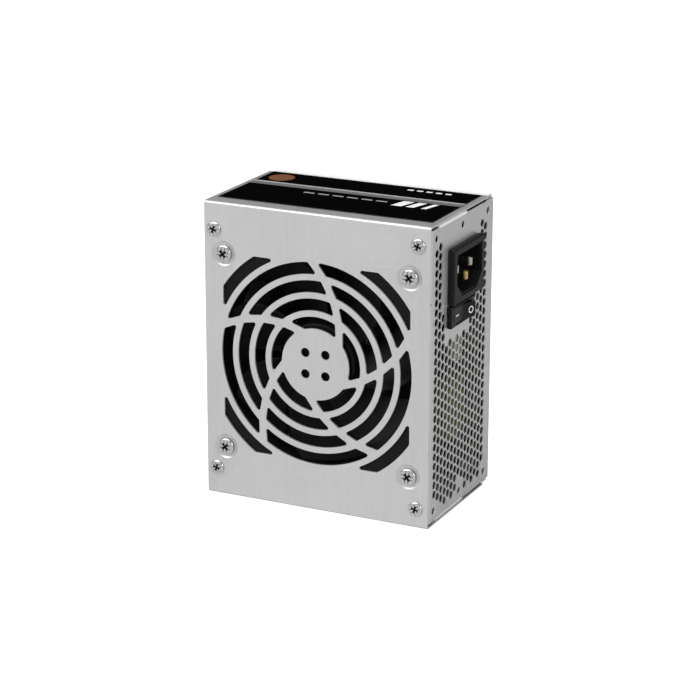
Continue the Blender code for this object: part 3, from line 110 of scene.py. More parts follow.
class ConnectorSettings(bpy.types.PropertyGroup):
    inlet: colour("Inlet", "Colour of the inlet's housing", (0.006, 0.006, 0.007))
    switch: colour("Switch", "Colour of the switch", (0.006, 0.006, 0.007))
    mark: colour("Marks", "Colour of the marks on the rocker", (0.80, 0.80, 0.80))
    mark_width: length("Mark width", "Stroke of the marks on the rocker", 0.0005)


class BoardSettings(bpy.types.PropertyGroup):
    copper: colour("Copper", "Colour of the enamelled wire", (0.72, 0.24, 0.06))
    laminate: colour("Board", "Colour of the circuit board", (0.025, 0.045, 0.015))
    film_box: colour("Film capacitor", "Colour of the film capacitor's case", (0.10, 0.09, 0.02))
    wire: length("Wire", "Radius of the enamelled wire", 0.00045)
    choke_turns: IntProperty(
        name="Turns", description="Turns of wire on each choke", default=34, min=6, max=80
    )


# Mesh helpers


def add_box(bm, low, high):
    low, high = Vector(low), Vector(high)
    place = Matrix.Translation((low + high) / 2) @ Matrix.Diagonal((*(high - low), 1))
    return bmesh.ops.create_cube(bm, size=1, matrix=place)["verts"]


def add_rod(bm, start, end, radius, segments=48, end_radius=None):
    start, end = Vector(start), Vector(end)
    turn = (end - start).to_track_quat("Z", "Y").to_matrix().to_4x4()
    bmesh.ops.create_cone(
        bm,
        cap_ends=True,
        segments=segments,
        radius1=radius,
        radius2=radius if end_radius is None else end_radius,
        depth=(end - start).length,
        matrix=Matrix.Translation((start + end) / 2) @ turn,
    )


def turned(points, axis, steps, closed=False):
    """A solid turned about an axis through the origin, from a profile's 3D points."""
    bm = bmesh.new()
    verts = [bm.verts.new(point) for point in points]
    edges = [bm.edges.new(pair) for pair in zip(verts, verts[1:] + verts[:1] if closed else verts[1:])]
    whole = {"axis": axis, "cent": (0, 0, 0), "angle": 2 * math.pi, "use_merge": True}
    bmesh.ops.spin(bm, geom=verts + edges, steps=steps, **whole)
    bmesh.ops.remove_doubles(bm, verts=bm.verts, dist=1e-7)
    bmesh.ops.recalc_face_normals(bm, faces=bm.faces)
    return bm


def object_from(name, bm):
    mesh = bpy.data.meshes.new(name)
    bm.to_mesh(mesh)
    bm.free()
    obj = bpy.data.objects.new(name, mesh)
    bpy.context.scene.collection.objects.link(obj)
    return obj


def in_order(obj, twisted=False):
    """Stores the same faces in one fixed order, because extrude, spin and solidify leave one that varies by run.

    A twisted quad only starts at an end of the diagonal that splits it, because the other diagonal bends it.
    """
    rings = []
    for face in obj.data.polygons:
        ring = list(face.vertices)
        starts = ring[::2] if twisted and len(ring) == 4 else ring
        first = ring.index(min(starts))
        rings.append(ring[first:] + ring[:first])
    mesh = bpy.data.meshes.new(obj.name)
    mesh.from_pydata([vert.co for vert in obj.data.vertices], [], sorted(rings))
    obj.data = mesh
    return obj


def settle(obj):
    """Turns an object and its modifiers into a plain mesh with its place in its points."""
    bpy.context.view_layer.update()
    evaluated = obj.evaluated_get(bpy.context.evaluated_depsgraph_get())
    mesh = bpy.data.meshes.new_from_object(evaluated)
    mesh.transform(obj.matrix_world)
    obj.modifiers.clear()
    obj.data = mesh
    obj.matrix_world = Matrix.Identity(4)
    return obj


def cut(obj, bm, operation="DIFFERENCE"):
    tool = object_from("tool", bm)
    modifier = obj.modifiers.new("Cut", "BOOLEAN")
    modifier.object = tool
    modifier.operation = operation
    modifier.solver = "EXACT"
    modifier.use_self = True
    settle(obj)
    bpy.data.objects.remove(tool)


def round_edges(obj, width, segments=2, angle=30):
    modifier = obj.modifiers.new("Round", "BEVEL")
    modifier.width = width
    modifier.segments = segments
    modifier.limit_method = "ANGLE"
    modifier.angle_limit = math.radians(angle)
    modifier.use_clamp_overlap = True
    settle(obj)


def merge_flats(obj):
    """Joins flat neighbouring faces, so that rounding an edge finds clean faces on both of its sides."""
    bm = bmesh.new()
    bm.from_mesh(obj.data)
    bmesh.ops.remove_doubles(bm, verts=bm.verts, dist=1e-6)
    bmesh.ops.dissolve_limit(bm, angle_limit=math.radians(0.5), verts=bm.verts, edges=bm.edges)
    bm.to_mesh(obj.data)
    bm.free()


def smooth(obj, angle=32):
    obj.data.shade_smooth()
    obj.data.set_sharp_from_angle(angle=math.radians(angle))
    weighted = obj.modifiers.new("Flat faces", "WEIGHTED_NORMAL")
    weighted.keep_sharp = True
    settle(obj)


def hand_over(obj, material, nodes=(), body="case", angle=32):
    """Gives a settled piece its finish, the body that it rides on and the CAD nodes that it stands for."""
    if len(obj.data.materials) < 2:
        obj.data.materials.clear()
        obj.data.materials.append(material)
    smooth(obj, angle)
    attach(obj, body)
    if nodes:
        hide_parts(*nodes)
    return obj


def arc(radius, start, end, segments, centre=(0, 0)):
    angles = [start + (end - start) * i / segments for i in range(segments + 1)]
    return [Vector((centre[0] + radius * math.cos(a), centre[1] + radius * math.sin(a))) for a in angles]


def along(chain, distance):
    """The point this far along a chain of points, and the chain's direction there."""
    for start, end in zip(chain, chain[1:]):
        span = (end - start).length
        if distance <= span:
            break
        distance -= span
    return start.lerp(end, min(1, distance / span)), (end - start) / span


def nearest(chain, point):
    """How far a point is from a chain, and how far along the chain its nearest place lies."""
    found, travelled = [], 0.0
    for start, end in zip(chain, chain[1:]):
        span = end - start
        share = max(0, min(1, (point - start).dot(span) / span.length_squared))
        found.append(((point - start - span * share).length, travelled + share * span.length))
        travelled += span.length
    return min(found)


def rounded(points, radius):
    """A closed outline, anticlockwise, whose sharp corners become arcs touching the curves on both sides."""
    if sum(p.cross(q) for p, q in zip(points, points[1:] + points[:1])) < 0:
        points = points[::-1]
    count = len(points)
    sharp = []
    for i in range(count):
        if (points[i] - points[i - 1]).angle(points[(i + 1) % count] - points[i]) > math.radians(25):
            sharp.append(i)
    spans = zip(sharp, sharp[1:] + [sharp[0] + count])
    sides = [[points[k % count] for k in range(a, b + 1)] for a, b in spans]
    corners = []
    for j, after in enumerate(sides):
        before = sides[j - 1][::-1]
        back, gap = 0.0, 0.0
        while gap < radius * 0.99:
            back += radius / 20
            point, heading = along(before, back)
            centre = point + radius * Vector((heading.y, -heading.x))
            gap, forward = nearest(after, centre)
        corners.append((back, forward, centre, point))
    outline = []
    for j, side in enumerate(sides):
        forward, centre, point = corners[j][1:]
        outline += corner_arc(centre, point, along(side, forward)[0])
        last = sum((q - p).length for p, q in zip(side, side[1:])) - corners[(j + 1) % len(sides)][0]
        travelled = 0.0
        for before, here in zip(side, side[1:-1]):
            travelled += (here - before).length
            if forward + radius / 10 < travelled < last - radius / 10:
                outline.append(here)
    return outline


def corner_arc(centre, start, end, steps=5):
    from_centre = start - centre
    turn = from_centre.angle_signed(end - centre)
    return [centre + Matrix.Rotation(-turn * i / steps, 2) @ from_centre for i in range(steps + 1)]


def plate(outlines, depth, turn, place=(0, 0, 0)):
    """A mesh of flat outlines, thickened both ways, turned and placed."""
    curve = bpy.data.curves.new("plate", "CURVE")
    curve.dimensions = "2D"
    curve.fill_mode = "BOTH"
    curve.extrude = depth / 2
    for outline in outlines:
        spline = curve.splines.new("POLY")
        spline.points.add(len(outline) - 1)
        for point, corner in zip(spline.points, outline):
            point.co = (corner[0], corner[1], 0, 1)
        spline.use_cyclic_u = True
    obj = bpy.data.objects.new("plate", curve)
    bpy.context.scene.collection.objects.link(obj)
    bpy.context.view_layer.update()
    mesh = bpy.data.meshes.new_from_object(obj.evaluated_get(bpy.context.evaluated_depsgraph_get()))
    bpy.data.objects.remove(obj)
    bm = bmesh.new()
    bm.from_mesh(mesh)
    bmesh.ops.remove_doubles(bm, verts=bm.verts, dist=1e-7)
    bmesh.ops.transform(bm, matrix=Matrix.Translation(place) @ turn, verts=bm.verts)
    bmesh.ops.recalc_face_normals(bm, faces=bm.faces)
    return bm


FACE_FAN_SIDE = Matrix.Rotation(math.radians(90), 4, "X")
FACE_INLET_SIDE = Matrix(((0, 0, 1, 0), (1, 0, 0, 0), (0, 1, 0, 0), (0, 0, 0, 1)))


def folded(corners, segments=6):
    """An open outline with every corner but its two ends rounded to the fold radius."""
    points = [Vector(corners[0])]
    for before, corner, after in zip(corners, corners[1:], corners[2:]):
        corner = Vector(corner)
        inward = (Vector(before) - corner).normalized()
        onward = (Vector(after) - corner).normalized()
        centre = corner + (inward + onward) * FOLD_RADIUS
        start, end = -onward, -inward
        for i in range(segments + 1):
            angle = math.pi / 2 * i / segments
            points.append(centre + (start * math.cos(angle) + end * math.sin(angle)) * FOLD_RADIUS)
    points.append(Vector(corners[-1]))
    return points


def add_folded_sheet(bm, path, place, sweep, inside):
    """A sheet whose cut edge follows a path. place makes a path point a 3D point, and sweep is its length."""
    outer = [bm.verts.new(place(p)) for p in path]
    edges = [bm.edges.new(pair) for pair in zip(outer, outer[1:])]
    grown = bmesh.ops.extrude_edge_only(bm, edges=edges)["geom"]
    bmesh.ops.translate(bm, vec=sweep, verts=[v for v in grown if isinstance(v, bmesh.types.BMVert)])
    faces = [f for f in grown if isinstance(f, bmesh.types.BMFace)]
    for face in faces:
        face.normal_update()
    wrong = [f for f in faces if f.normal.dot(f.calc_center_median() - Vector(inside)) < 0]
    bmesh.ops.reverse_faces(bm, faces=wrong)


def thicken(obj, thickness=SHEET):
    shell = obj.modifiers.new("Sheet", "SOLIDIFY")
    shell.thickness = thickness
    shell.offset = -1
    shell.use_even_offset = True
    settle(obj)


# Shader groups and materials


def shader_group(name, inputs, outputs):
    tree = bpy.data.node_groups.new(name, "ShaderNodeTree")
    for label, kind, default in inputs:
        socket = tree.interface.new_socket(name=label, in_out="INPUT", socket_type=f"NodeSocket{kind}")
        socket.default_value = default
    for label, kind in outputs:
        tree.interface.new_socket(name=label, in_out="OUTPUT", socket_type=f"NodeSocket{kind}")
    nodes = tree.nodes
    return tree, nodes.new("NodeGroupInput").outputs, nodes.new("NodeGroupOutput").inputs


def math_node(tree, operation, first, second=None, third=None, clamp=False):
    node = tree.nodes.new("ShaderNodeMath")
    node.operation = operation
    node.use_clamp = clamp
    for socket, value in zip(node.inputs, (first, second, third)):
        if value is None:
            continue
        if isinstance(value, (int, float)):
            socket.default_value = value
        else:
            tree.links.new(value, socket)
    return node.outputs[0]


def mix_colour(tree, blend, factor, first, second):
    node = tree.nodes.new("ShaderNodeMix")
    node.data_type = "RGBA"
    node.blend_type = blend
    for index, value in ((0, factor), (6, first), (7, second)):
        if isinstance(value, (int, float)):
            node.inputs[index].default_value = value
        elif isinstance(value, tuple):
            node.inputs[index].default_value = (*value, 1)
        else:
            tree.links.new(value, node.inputs[index])
    return node.outputs[2]


def noise(tree, scale, detail=3.0, stretch=(1, 1, 1)):
    nodes = tree.nodes
    coordinates = nodes.new("ShaderNodeTexCoord").outputs["Object"]
    mapping = nodes.new("ShaderNodeMapping")
    mapping.inputs["Scale"].default_value = stretch
    tree.links.new(coordinates, mapping.inputs["Vector"])
    texture = nodes.new("ShaderNodeTexNoise")
    texture.inputs["Detail"].default_value = detail
    tree.links.new(mapping.outputs[0], texture.inputs["Vector"])
    if isinstance(scale, (int, float)):
        texture.inputs["Scale"].default_value = scale
    else:
        tree.links.new(scale, texture.inputs["Scale"])
    return texture.outputs[0]


GRAIN_SOCKETS = (
    ("Colour", "Color", (0.5, 0.5, 0.5, 1)),
    ("Roughness", "Float", 0.5),
    ("Scale", "Float", 1500.0),
    ("Tone Change", "Float", 0.1),
    ("Roughness Change", "Float", 0.1),
)


def grain_group():
    """Fine grain with slow patches: even moulded plastic and paint are a little uneven."""
    tree, given, out = shader_group(
        "Surface grain", GRAIN_SOCKETS, (("Colour", "Color"), ("Roughness", "Float"), ("Height", "Float"))
    )
    fine = noise(tree, given["Scale"])
    slow = noise(tree, 60.0, 2.0)
    centred = math_node(tree, "SUBTRACT", slow, 0.5)
    tone = math_node(tree, "MULTIPLY_ADD", centred, given["Tone Change"], 1.0)
    speck = math_node(tree, "MULTIPLY_ADD", math_node(tree, "SUBTRACT", fine, 0.5), given["Tone Change"], tone)
    combine = tree.nodes.new("ShaderNodeCombineColor")
    for socket in combine.inputs[:3]:
        tree.links.new(speck, socket)
    tree.links.new(mix_colour(tree, "MULTIPLY", 1.0, given["Colour"], combine.outputs[0]), out["Colour"])
    rough = math_node(tree, "MULTIPLY_ADD", centred, given["Roughness Change"], given["Roughness"], clamp=True)
    tree.links.new(rough, out["Roughness"])
    tree.links.new(fine, out["Height"])
    return tree


def rolled_sheet_group():
    """Zinc-plated sheet: streaks along Z from rolling, a fine crystal speckle and faint smudges."""
    tree, given, out = shader_group(
        "Rolled sheet", GRAIN_SOCKETS, (("Colour", "Color"), ("Roughness", "Float"), ("Height", "Float"))
    )
    streaks = noise(tree, 900.0, 2.0, (1, 1, 0.06))
    smudge = noise(tree, 28.0, 3.0)
    cells = tree.nodes.new("ShaderNodeTexVoronoi")
    tree.links.new(tree.nodes.new("ShaderNodeTexCoord").outputs["Object"], cells.inputs["Vector"])
    tree.links.new(given["Scale"], cells.inputs["Scale"])
    spangle = math_node(tree, "SUBTRACT", cells.outputs["Color"], 0.5)
    line = math_node(tree, "SUBTRACT", streaks, 0.5)
    both = math_node(tree, "MULTIPLY_ADD", spangle, 0.5, line)
    patch = math_node(tree, "ADD", both, math_node(tree, "SUBTRACT", smudge, 0.5))
    tone = math_node(tree, "MULTIPLY_ADD", patch, given["Tone Change"], 1.0)
    combine = tree.nodes.new("ShaderNodeCombineColor")
    for socket in combine.inputs[:3]:
        tree.links.new(tone, socket)
    tree.links.new(mix_colour(tree, "MULTIPLY", 1.0, given["Colour"], combine.outputs[0]), out["Colour"])
    rough = math_node(tree, "MULTIPLY_ADD", patch, given["Roughness Change"], given["Roughness"], clamp=True)
    tree.links.new(rough, out["Roughness"])
    tree.links.new(both, out["Height"])
    return tree


def edge_wear_and_highlight_group():
    """A mask of the sharp outer edges, broken up by noise, which lightens the colour there: partly wear, partly
    a painted highlight along the edges.
    """
    tree, given, out = shader_group(
        "Edge wear",
        (
            ("Colour", "Color", (0.5, 0.5, 0.5, 1)),
            ("Worn And Lit", "Color", (0.8, 0.8, 0.8, 1)),
            ("Amount", "Float", 0.5),
        ),
        (("Colour", "Color"),),
    )
    pointiness = tree.nodes.new("ShaderNodeNewGeometry").outputs["Pointiness"]
    edge = math_node(tree, "MULTIPLY", math_node(tree, "SUBTRACT", pointiness, 0.515), 18.0, clamp=True)
    broken = math_node(tree, "MULTIPLY", edge, noise(tree, 500.0))
    amount = math_node(tree, "MULTIPLY", broken, given["Amount"], clamp=True)
    tree.links.new(mix_colour(tree, "MIX", amount, given["Colour"], given["Worn And Lit"]), out["Colour"])
    return tree


def dust_group():
    """A thin grey film on what faces up, which dulls the colour."""
    tree, given, out = shader_group(
        "Dust",
        (("Colour", "Color", (0.5, 0.5, 0.5, 1)), ("Amount", "Float", 0.1)),
        (("Colour", "Color"),),
    )
    split = tree.nodes.new("ShaderNodeSeparateXYZ")
    tree.links.new(tree.nodes.new("ShaderNodeNewGeometry").outputs["Normal"], split.inputs[0])
    facing = math_node(tree, "MULTIPLY", split.outputs["Z"], given["Amount"], clamp=True)
    amount = math_node(tree, "MULTIPLY", facing, noise(tree, 300.0))
    tree.links.new(mix_colour(tree, "MIX", amount, given["Colour"], (0.35, 0.34, 0.32)), out["Colour"])
    return tree


GROUPS = {}
FINISHES = {}


def group(name):
    makers = {
        "grain": grain_group,
        "rolled": rolled_sheet_group,
        "wear_and_highlight": edge_wear_and_highlight_group,
        "dust": dust_group,
    }
    if name not in GROUPS:
        GROUPS[name] = makers[name]()
    return GROUPS[name]


def use_group(material, name, values, colour_from=None):
    node = material.node_tree.nodes.new("ShaderNodeGroup")
    node.node_tree = group(name)
    for label, value in values.items():
        node.inputs[label].default_value = (*value, 1) if isinstance(value, tuple) else value
    if colour_from:
        material.node_tree.links.new(colour_from, node.inputs["Colour"])
    return node.outputs


def surface(name, tint, roughness, metallic=0.0, base="grain", scale=1500.0, tone=0.12, rough_change=0.12,
            bump=0.02, wear_and_highlight=0.0, worn_and_lit=(0.7, 0.7, 0.7), dust=0.0, coat=0.0, specular=0.5):
    """A finished material: a base surface, then lightened edges (part wear, part painted highlight) and dust
    where they are asked for.
    """
    if name in FINISHES:
        return FINISHES[name]
    material = FINISHES[name] = bpy.data.materials.new(f"{name}_finish")
    material.use_nodes = True
    links = material.node_tree.links
    shader = material.node_tree.nodes["Principled BSDF"]
    shader.inputs["Metallic"].default_value = metallic
    shader.inputs["Specular IOR Level"].default_value = specular
    shader.inputs["Coat Weight"].default_value = coat
    values = {"Colour": tuple(tint), "Roughness": roughness, "Scale": scale}
    values |= {"Tone Change": tone, "Roughness Change": rough_change}
    made = use_group(material, base, values)
    shade = made["Colour"]
    # Lightens the sharp outer edges: partly wear, partly a painted highlight along them.
    if wear_and_highlight:
        shade = use_group(material, "wear_and_highlight", {"Worn And Lit": worn_and_lit, "Amount": wear_and_highlight}, shade)["Colour"]
    if dust:
        shade = use_group(material, "dust", {"Amount": dust}, shade)["Colour"]
    links.new(shade, shader.inputs["Base Color"])
    links.new(made["Roughness"], shader.inputs["Roughness"])
    if bump:
        relief = material.node_tree.nodes.new("ShaderNodeBump")
        relief.inputs["Strength"].default_value = 1.0
        relief.inputs["Distance"].default_value = bump * 0.001
        links.new(made["Height"], relief.inputs["Height"])
        links.new(relief.outputs["Normal"], shader.inputs["Normal"])
    return material


def steel_sheet(settings):
    # The sheet's folds and cut edges are lightened: a painted highlight along them, partly wear.
    return surface("plated_steel_sheet", settings.steel, 0.42, 0.75, "rolled", 1400.0, 0.10, 0.10, 0.010, 0.5)


def bright_screw():
    # The screw heads' rims are lightened: a painted highlight along them, partly wear.
    return surface("bright_screw", (0.60, 0.59, 0.58), 0.24, 1.0, "grain", 2500.0, 0.08, 0.10, 0.006, 0.4)


def tinned_blade():
    return surface("tinned_blade", (0.52, 0.52, 0.51), 0.24, 1.0, "grain", 1800.0, 0.06, 0.12, 0.004)


def plastic(name, tint, roughness=0.42, bump=0.02, wear_and_highlight=0.15):
    # The plastic's edges are lightened towards dark grey: partly wear, partly a painted highlight.
    worn_and_lit = (0.05, 0.05, 0.05)
    return surface(
        name, tint, roughness, 0.0, "grain", 2600.0, 0.20, 0.10, bump, wear_and_highlight, worn_and_lit, 0.03, specular=0.12
    )


# Geometry node trees


def geometry_tree(name, inputs):
    tree = bpy.data.node_groups.new(name, "GeometryNodeTree")
    tree.interface.new_socket(name="Geometry", in_out="INPUT", socket_type="NodeSocketGeometry")
    for label, kind, default in inputs:
        socket = tree.interface.new_socket(name=label, in_out="INPUT", socket_type=f"NodeSocket{kind}")
        if default is not None:
            socket.default_value = default
    tree.interface.new_socket(name="Geometry", in_out="OUTPUT", socket_type="NodeSocketGeometry")
    return tree, tree.nodes.new("NodeGroupInput").outputs, tree.nodes.new("NodeGroupOutput").inputs


def add_node(tree, kind, values=None, wires=None, **settings):
    """A node with plain values and wires, both by socket name or number."""
    node = tree.nodes.new(kind)
    for label, value in settings.items():
        setattr(node, label, value)
    for label, value in (values or {}).items():
        node.inputs[label].default_value = value
    for label, source in (wires or {}).items():
        tree.links.new(source, node.inputs[label])
    return node


def end_tree(tree, out, geometry, material, chosen=None):
    whole = add_node(tree, "GeometryNodeRealizeInstances", wires={"Geometry": geometry})
    wires = {"Geometry": whole.outputs[0], "Material": material}
    if chosen:
        wires["Selection"] = chosen
    finished = add_node(tree, "GeometryNodeSetMaterial", wires=wires)
    tree.links.new(finished.outputs[0], out["Geometry"])


def perforation_tree():
    """Cuts a hexagonal hole through the sheet at every point of a pattern object. The holes run along X."""
    tree, given, out = geometry_tree(
        "Perforated sheet",
        (
            ("Pattern", "Object", None),
            ("Corner Radius", "Float", 0.002),
            ("Depth", "Float", 0.005),
            ("Material", "Material", None),
        ),
    )
    pattern = add_node(tree, "GeometryNodeObjectInfo", wires={"Object": given["Pattern"]})
    prism = add_node(
        tree,
        "GeometryNodeMeshCylinder",
        {"Vertices": 6},
        {"Radius": given["Corner Radius"], "Depth": given["Depth"]},
    )
    lying = add_node(
        tree,
        "GeometryNodeTransform",
        {"Rotation": (math.pi / 2, 0, math.pi / 2)},
        {"Geometry": prism.outputs["Mesh"]},
    )
    prisms = add_node(
        tree,
        "GeometryNodeInstanceOnPoints",
        wires={"Points": pattern.outputs["Geometry"], "Instance": lying.outputs[0]},
    )
    solid = add_node(tree, "GeometryNodeRealizeInstances", wires={"Geometry": prisms.outputs[0]})
    holed = add_node(
        tree,
        "GeometryNodeMeshBoolean",
        wires={"Mesh 1": given["Geometry"], "Mesh 2": solid.outputs[0]},
        operation="DIFFERENCE",
        solver="EXACT",
    )
    end_tree(tree, out, holed.outputs[0], given["Material"])
    return tree


def copies_tree():
    """Puts a copy of a piece at every point of the mesh. The piece's second material, the painted shade in a
    screw's recess, stays.
    """
    tree, given, out = geometry_tree(
        "Copies at points",
        (("Piece", "Object", None), ("Turn", "Vector", (0, 0, 0)), ("Material", "Material", None)),
    )
    piece = add_node(tree, "GeometryNodeObjectInfo", wires={"Object": given["Piece"]})
    copies = add_node(
        tree,
        "GeometryNodeInstanceOnPoints",
        wires={"Points": given["Geometry"], "Instance": piece.outputs["Geometry"], "Rotation": given["Turn"]},
    )
    index = add_node(tree, "GeometryNodeInputMaterialIndex")
    first = add_node(
        tree, "FunctionNodeCompare", wires={"A": index.outputs[0]}, data_type="INT", operation="EQUAL"
    )
    end_tree(tree, out, copies.outputs[0], given["Material"], first.outputs[0])
    return tree


def wire_loop(tree, given):
    """One turn of wire: a rounded rectangle in the XY plane, swept by the wire's section."""
    sizes = {"Width": given["Loop Width"], "Height": given["Loop Height"]}
    frame_curve = add_node(tree, "GeometryNodeCurvePrimitiveQuadrilateral", wires=sizes)
    soft = add_node(
        tree,
        "GeometryNodeFilletCurve",
        {"Count": 3},
        {"Curve": frame_curve.outputs[0], "Radius": given["Loop Corner"]},
        mode="POLY",
    )
    radius = {"Radius": given["Wire Radius"]}
    section = add_node(tree, "GeometryNodeCurvePrimitiveCircle", {"Resolution": 8}, radius)
    return add_node(
        tree, "GeometryNodeCurveToMesh", wires={"Curve": soft.outputs[0], "Profile Curve": section.outputs[0]}
    )


LOOP_SOCKETS = (
    ("Turns", "Int", 30),
    ("Loop Width", "Float", 0.01),
    ("Loop Height", "Float", 0.01),
    ("Loop Corner", "Float", 0.001),
    ("Wire Radius", "Float", 0.0004),
    ("Material", "Material", None),
)


def ring_winding_tree():
    """Turns of wire round a ring core whose axis is Z, left bare for a stretch at its foot."""
    tree, given, out = geometry_tree(
        "Ring winding",
        (("Ring Radius", "Float", 0.01), ("Start", "Float", 0.0), ("Sweep", "Float", 5.0), *LOOP_SOCKETS),
    )
    ring = add_node(
        tree,
        "GeometryNodeCurveArc",
        {"Resolution": 96},
        {"Radius": given["Ring Radius"], "Start Angle": given["Start"], "Sweep Angle": given["Sweep"]},
    )
    wires = {"Curve": ring.outputs[0], "Count": given["Turns"]}
    stations = add_node(tree, "GeometryNodeCurveToPoints", wires=wires, mode="COUNT")
    loop = wire_loop(tree, given)
    turns = add_node(
        tree,
        "GeometryNodeInstanceOnPoints",
        wires={
            "Points": stations.outputs["Points"],
            "Instance": loop.outputs[0],
            "Rotation": stations.outputs["Rotation"],
        },
    )
    end_tree(tree, out, turns.outputs[0], given["Material"])
    return tree


def bobbin_winding_tree():
    """Turns of wire stacked along Z."""
    tree, given, out = geometry_tree("Bobbin winding", (("Pitch", "Vector", (0, 0, 0.001)), *LOOP_SOCKETS))
    line = add_node(tree, "GeometryNodeMeshLine", wires={"Count": given["Turns"], "Offset": given["Pitch"]})
    loop = wire_loop(tree, given)
    turns = add_node(
        tree, "GeometryNodeInstanceOnPoints", wires={"Points": line.outputs[0], "Instance": loop.outputs[0]}
    )
    end_tree(tree, out, turns.outputs[0], given["Material"])
    return tree


def run_tree(obj, tree, values):
    modifier = obj.modifiers.new(tree.name, "NODES")
    modifier.node_group = tree
    for item in tree.interface.items_tree:
        if item.in_out == "INPUT" and item.name in values:
            modifier[item.identifier] = values[item.name]
    return settle(obj)


def points_object(name, places):
    bm = bmesh.new()
    for place in places:
        bm.verts.new(place)
    return object_from(name, bm)


# Case

ARMS, RINGS = 5, 4
ARM_RADIUS, ARM_OFF_AXIS, ARM_TURN = 0.0438, 0.0353, math.radians(159.7)
ARC_STEP = 0.0012  # longest straight step along a slot's edge
GRILLE_SQUARE = 0.0417  # half the side of the square that ends the corner slots
LAP_START, LAP_SLOPE = 0.0061, 0.00115  # where the cover steps in, from the back, and the step's run
CASE_SCREW_HOLE, FAN_SCREW_HOLE, HUB_HOLE = 0.0018, 0.0024, 0.00195
HUB_HOLE_PLACE = 0.0045
DIMPLE_DEPTH, DIMPLE_FLOOR = 0.0004, 0.0046
VENT_COLUMNS, VENT_CENTRE, VENT_MARGIN = 15, 0.0306, 0.0070
TAPPED_INSET, TAPPED_HOLE, TAPPED_BORDER = 0.006, 0.0016, 0.0055
INLET_BORDER, SWITCH_OVERLAP, SWITCH_BORDER = 0.0018, 0.0003, 0.0035
FLANGE_WIDTH = 0.003
LIP_LENGTH, LIP_DROP = 0.0038, 0.004
TAB_START, TAB_LENGTH, TAB_WIDTH, TAB_DROP = 0.0083, 0.0274, 0.005, 0.0018
PLATE_INSET, PLATE_OVERLAP, PLATE_START, PLATE_END = 0.0095, 0.0029, 0.0021, 0.0158
INLET_OPENING, SWITCH_OPENING, OUTLET_OPENING = (0.0280, 0.0205), (0.0218, 0.0087), 0.0123
NOTCH_PLACES, NOTCH_HALF, NOTCH_DEPTH = (0.0078, 0.0362, 0.0557), 0.0005, 0.0036
FLANGE_NOTCH, FLANGE_NOTCH_DEPTH = 0.0310, 0.0040


def corners(node):
    return [Vector(corner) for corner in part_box(node)]


def centre_of(node):
    low, high = corners(node)
    return (low + high) / 2


def nodes_like(start):
    return sorted(name for name in frame["nodes"] if name.startswith(start))


def arm_angle(radius, side, width):
    """Where an arm's edge crosses a circle about the fan's axis. Each arm is an arc about a point off it."""
    edge = ARM_RADIUS + side * width / 2
    across = (radius**2 + ARM_OFF_AXIS**2 - edge**2) / (2 * radius * ARM_OFF_AXIS)
    return ARM_TURN - math.acos(across)


def grille_outlines(settings):
    step = settings.slot_width + settings.web_width
    pitch = 2 * math.pi / ARMS
    width = settings.arm_width
    outlines = []
    for ring in range(RINGS):
        inner = settings.hub_radius + ring * step
        outer = inner + settings.slot_width
        for arm in range(ARMS):
            start, end = (
                [arm * pitch + arm_angle(r, -1, width), (arm + 1) * pitch + arm_angle(r, 1, width)]
                for r in (inner, outer)
            )
            count = max(8, round(outer * (end[1] - end[0]) / ARC_STEP))
            slot = arc(outer, *end, count) + arc(inner, start[1], start[0], count)
            outlines.append(rounded(slot, settings.corner_round))
    inner = settings.hub_radius + RINGS * step
    outer = inner + settings.slot_width
    low, high = math.acos(GRILLE_SQUARE / outer), math.acos(GRILLE_SQUARE / inner)
    half = math.pi / 2
    corner = arc(outer, low, half - low, 14) + arc(inner, half - high, high, 30)
    corner = rounded(corner, settings.corner_round)
    for across in (1, -1):
        for up in (1, -1):
            outlines.append([Vector((across * p.x, up * p.y)) for p in corner])
    return outlines


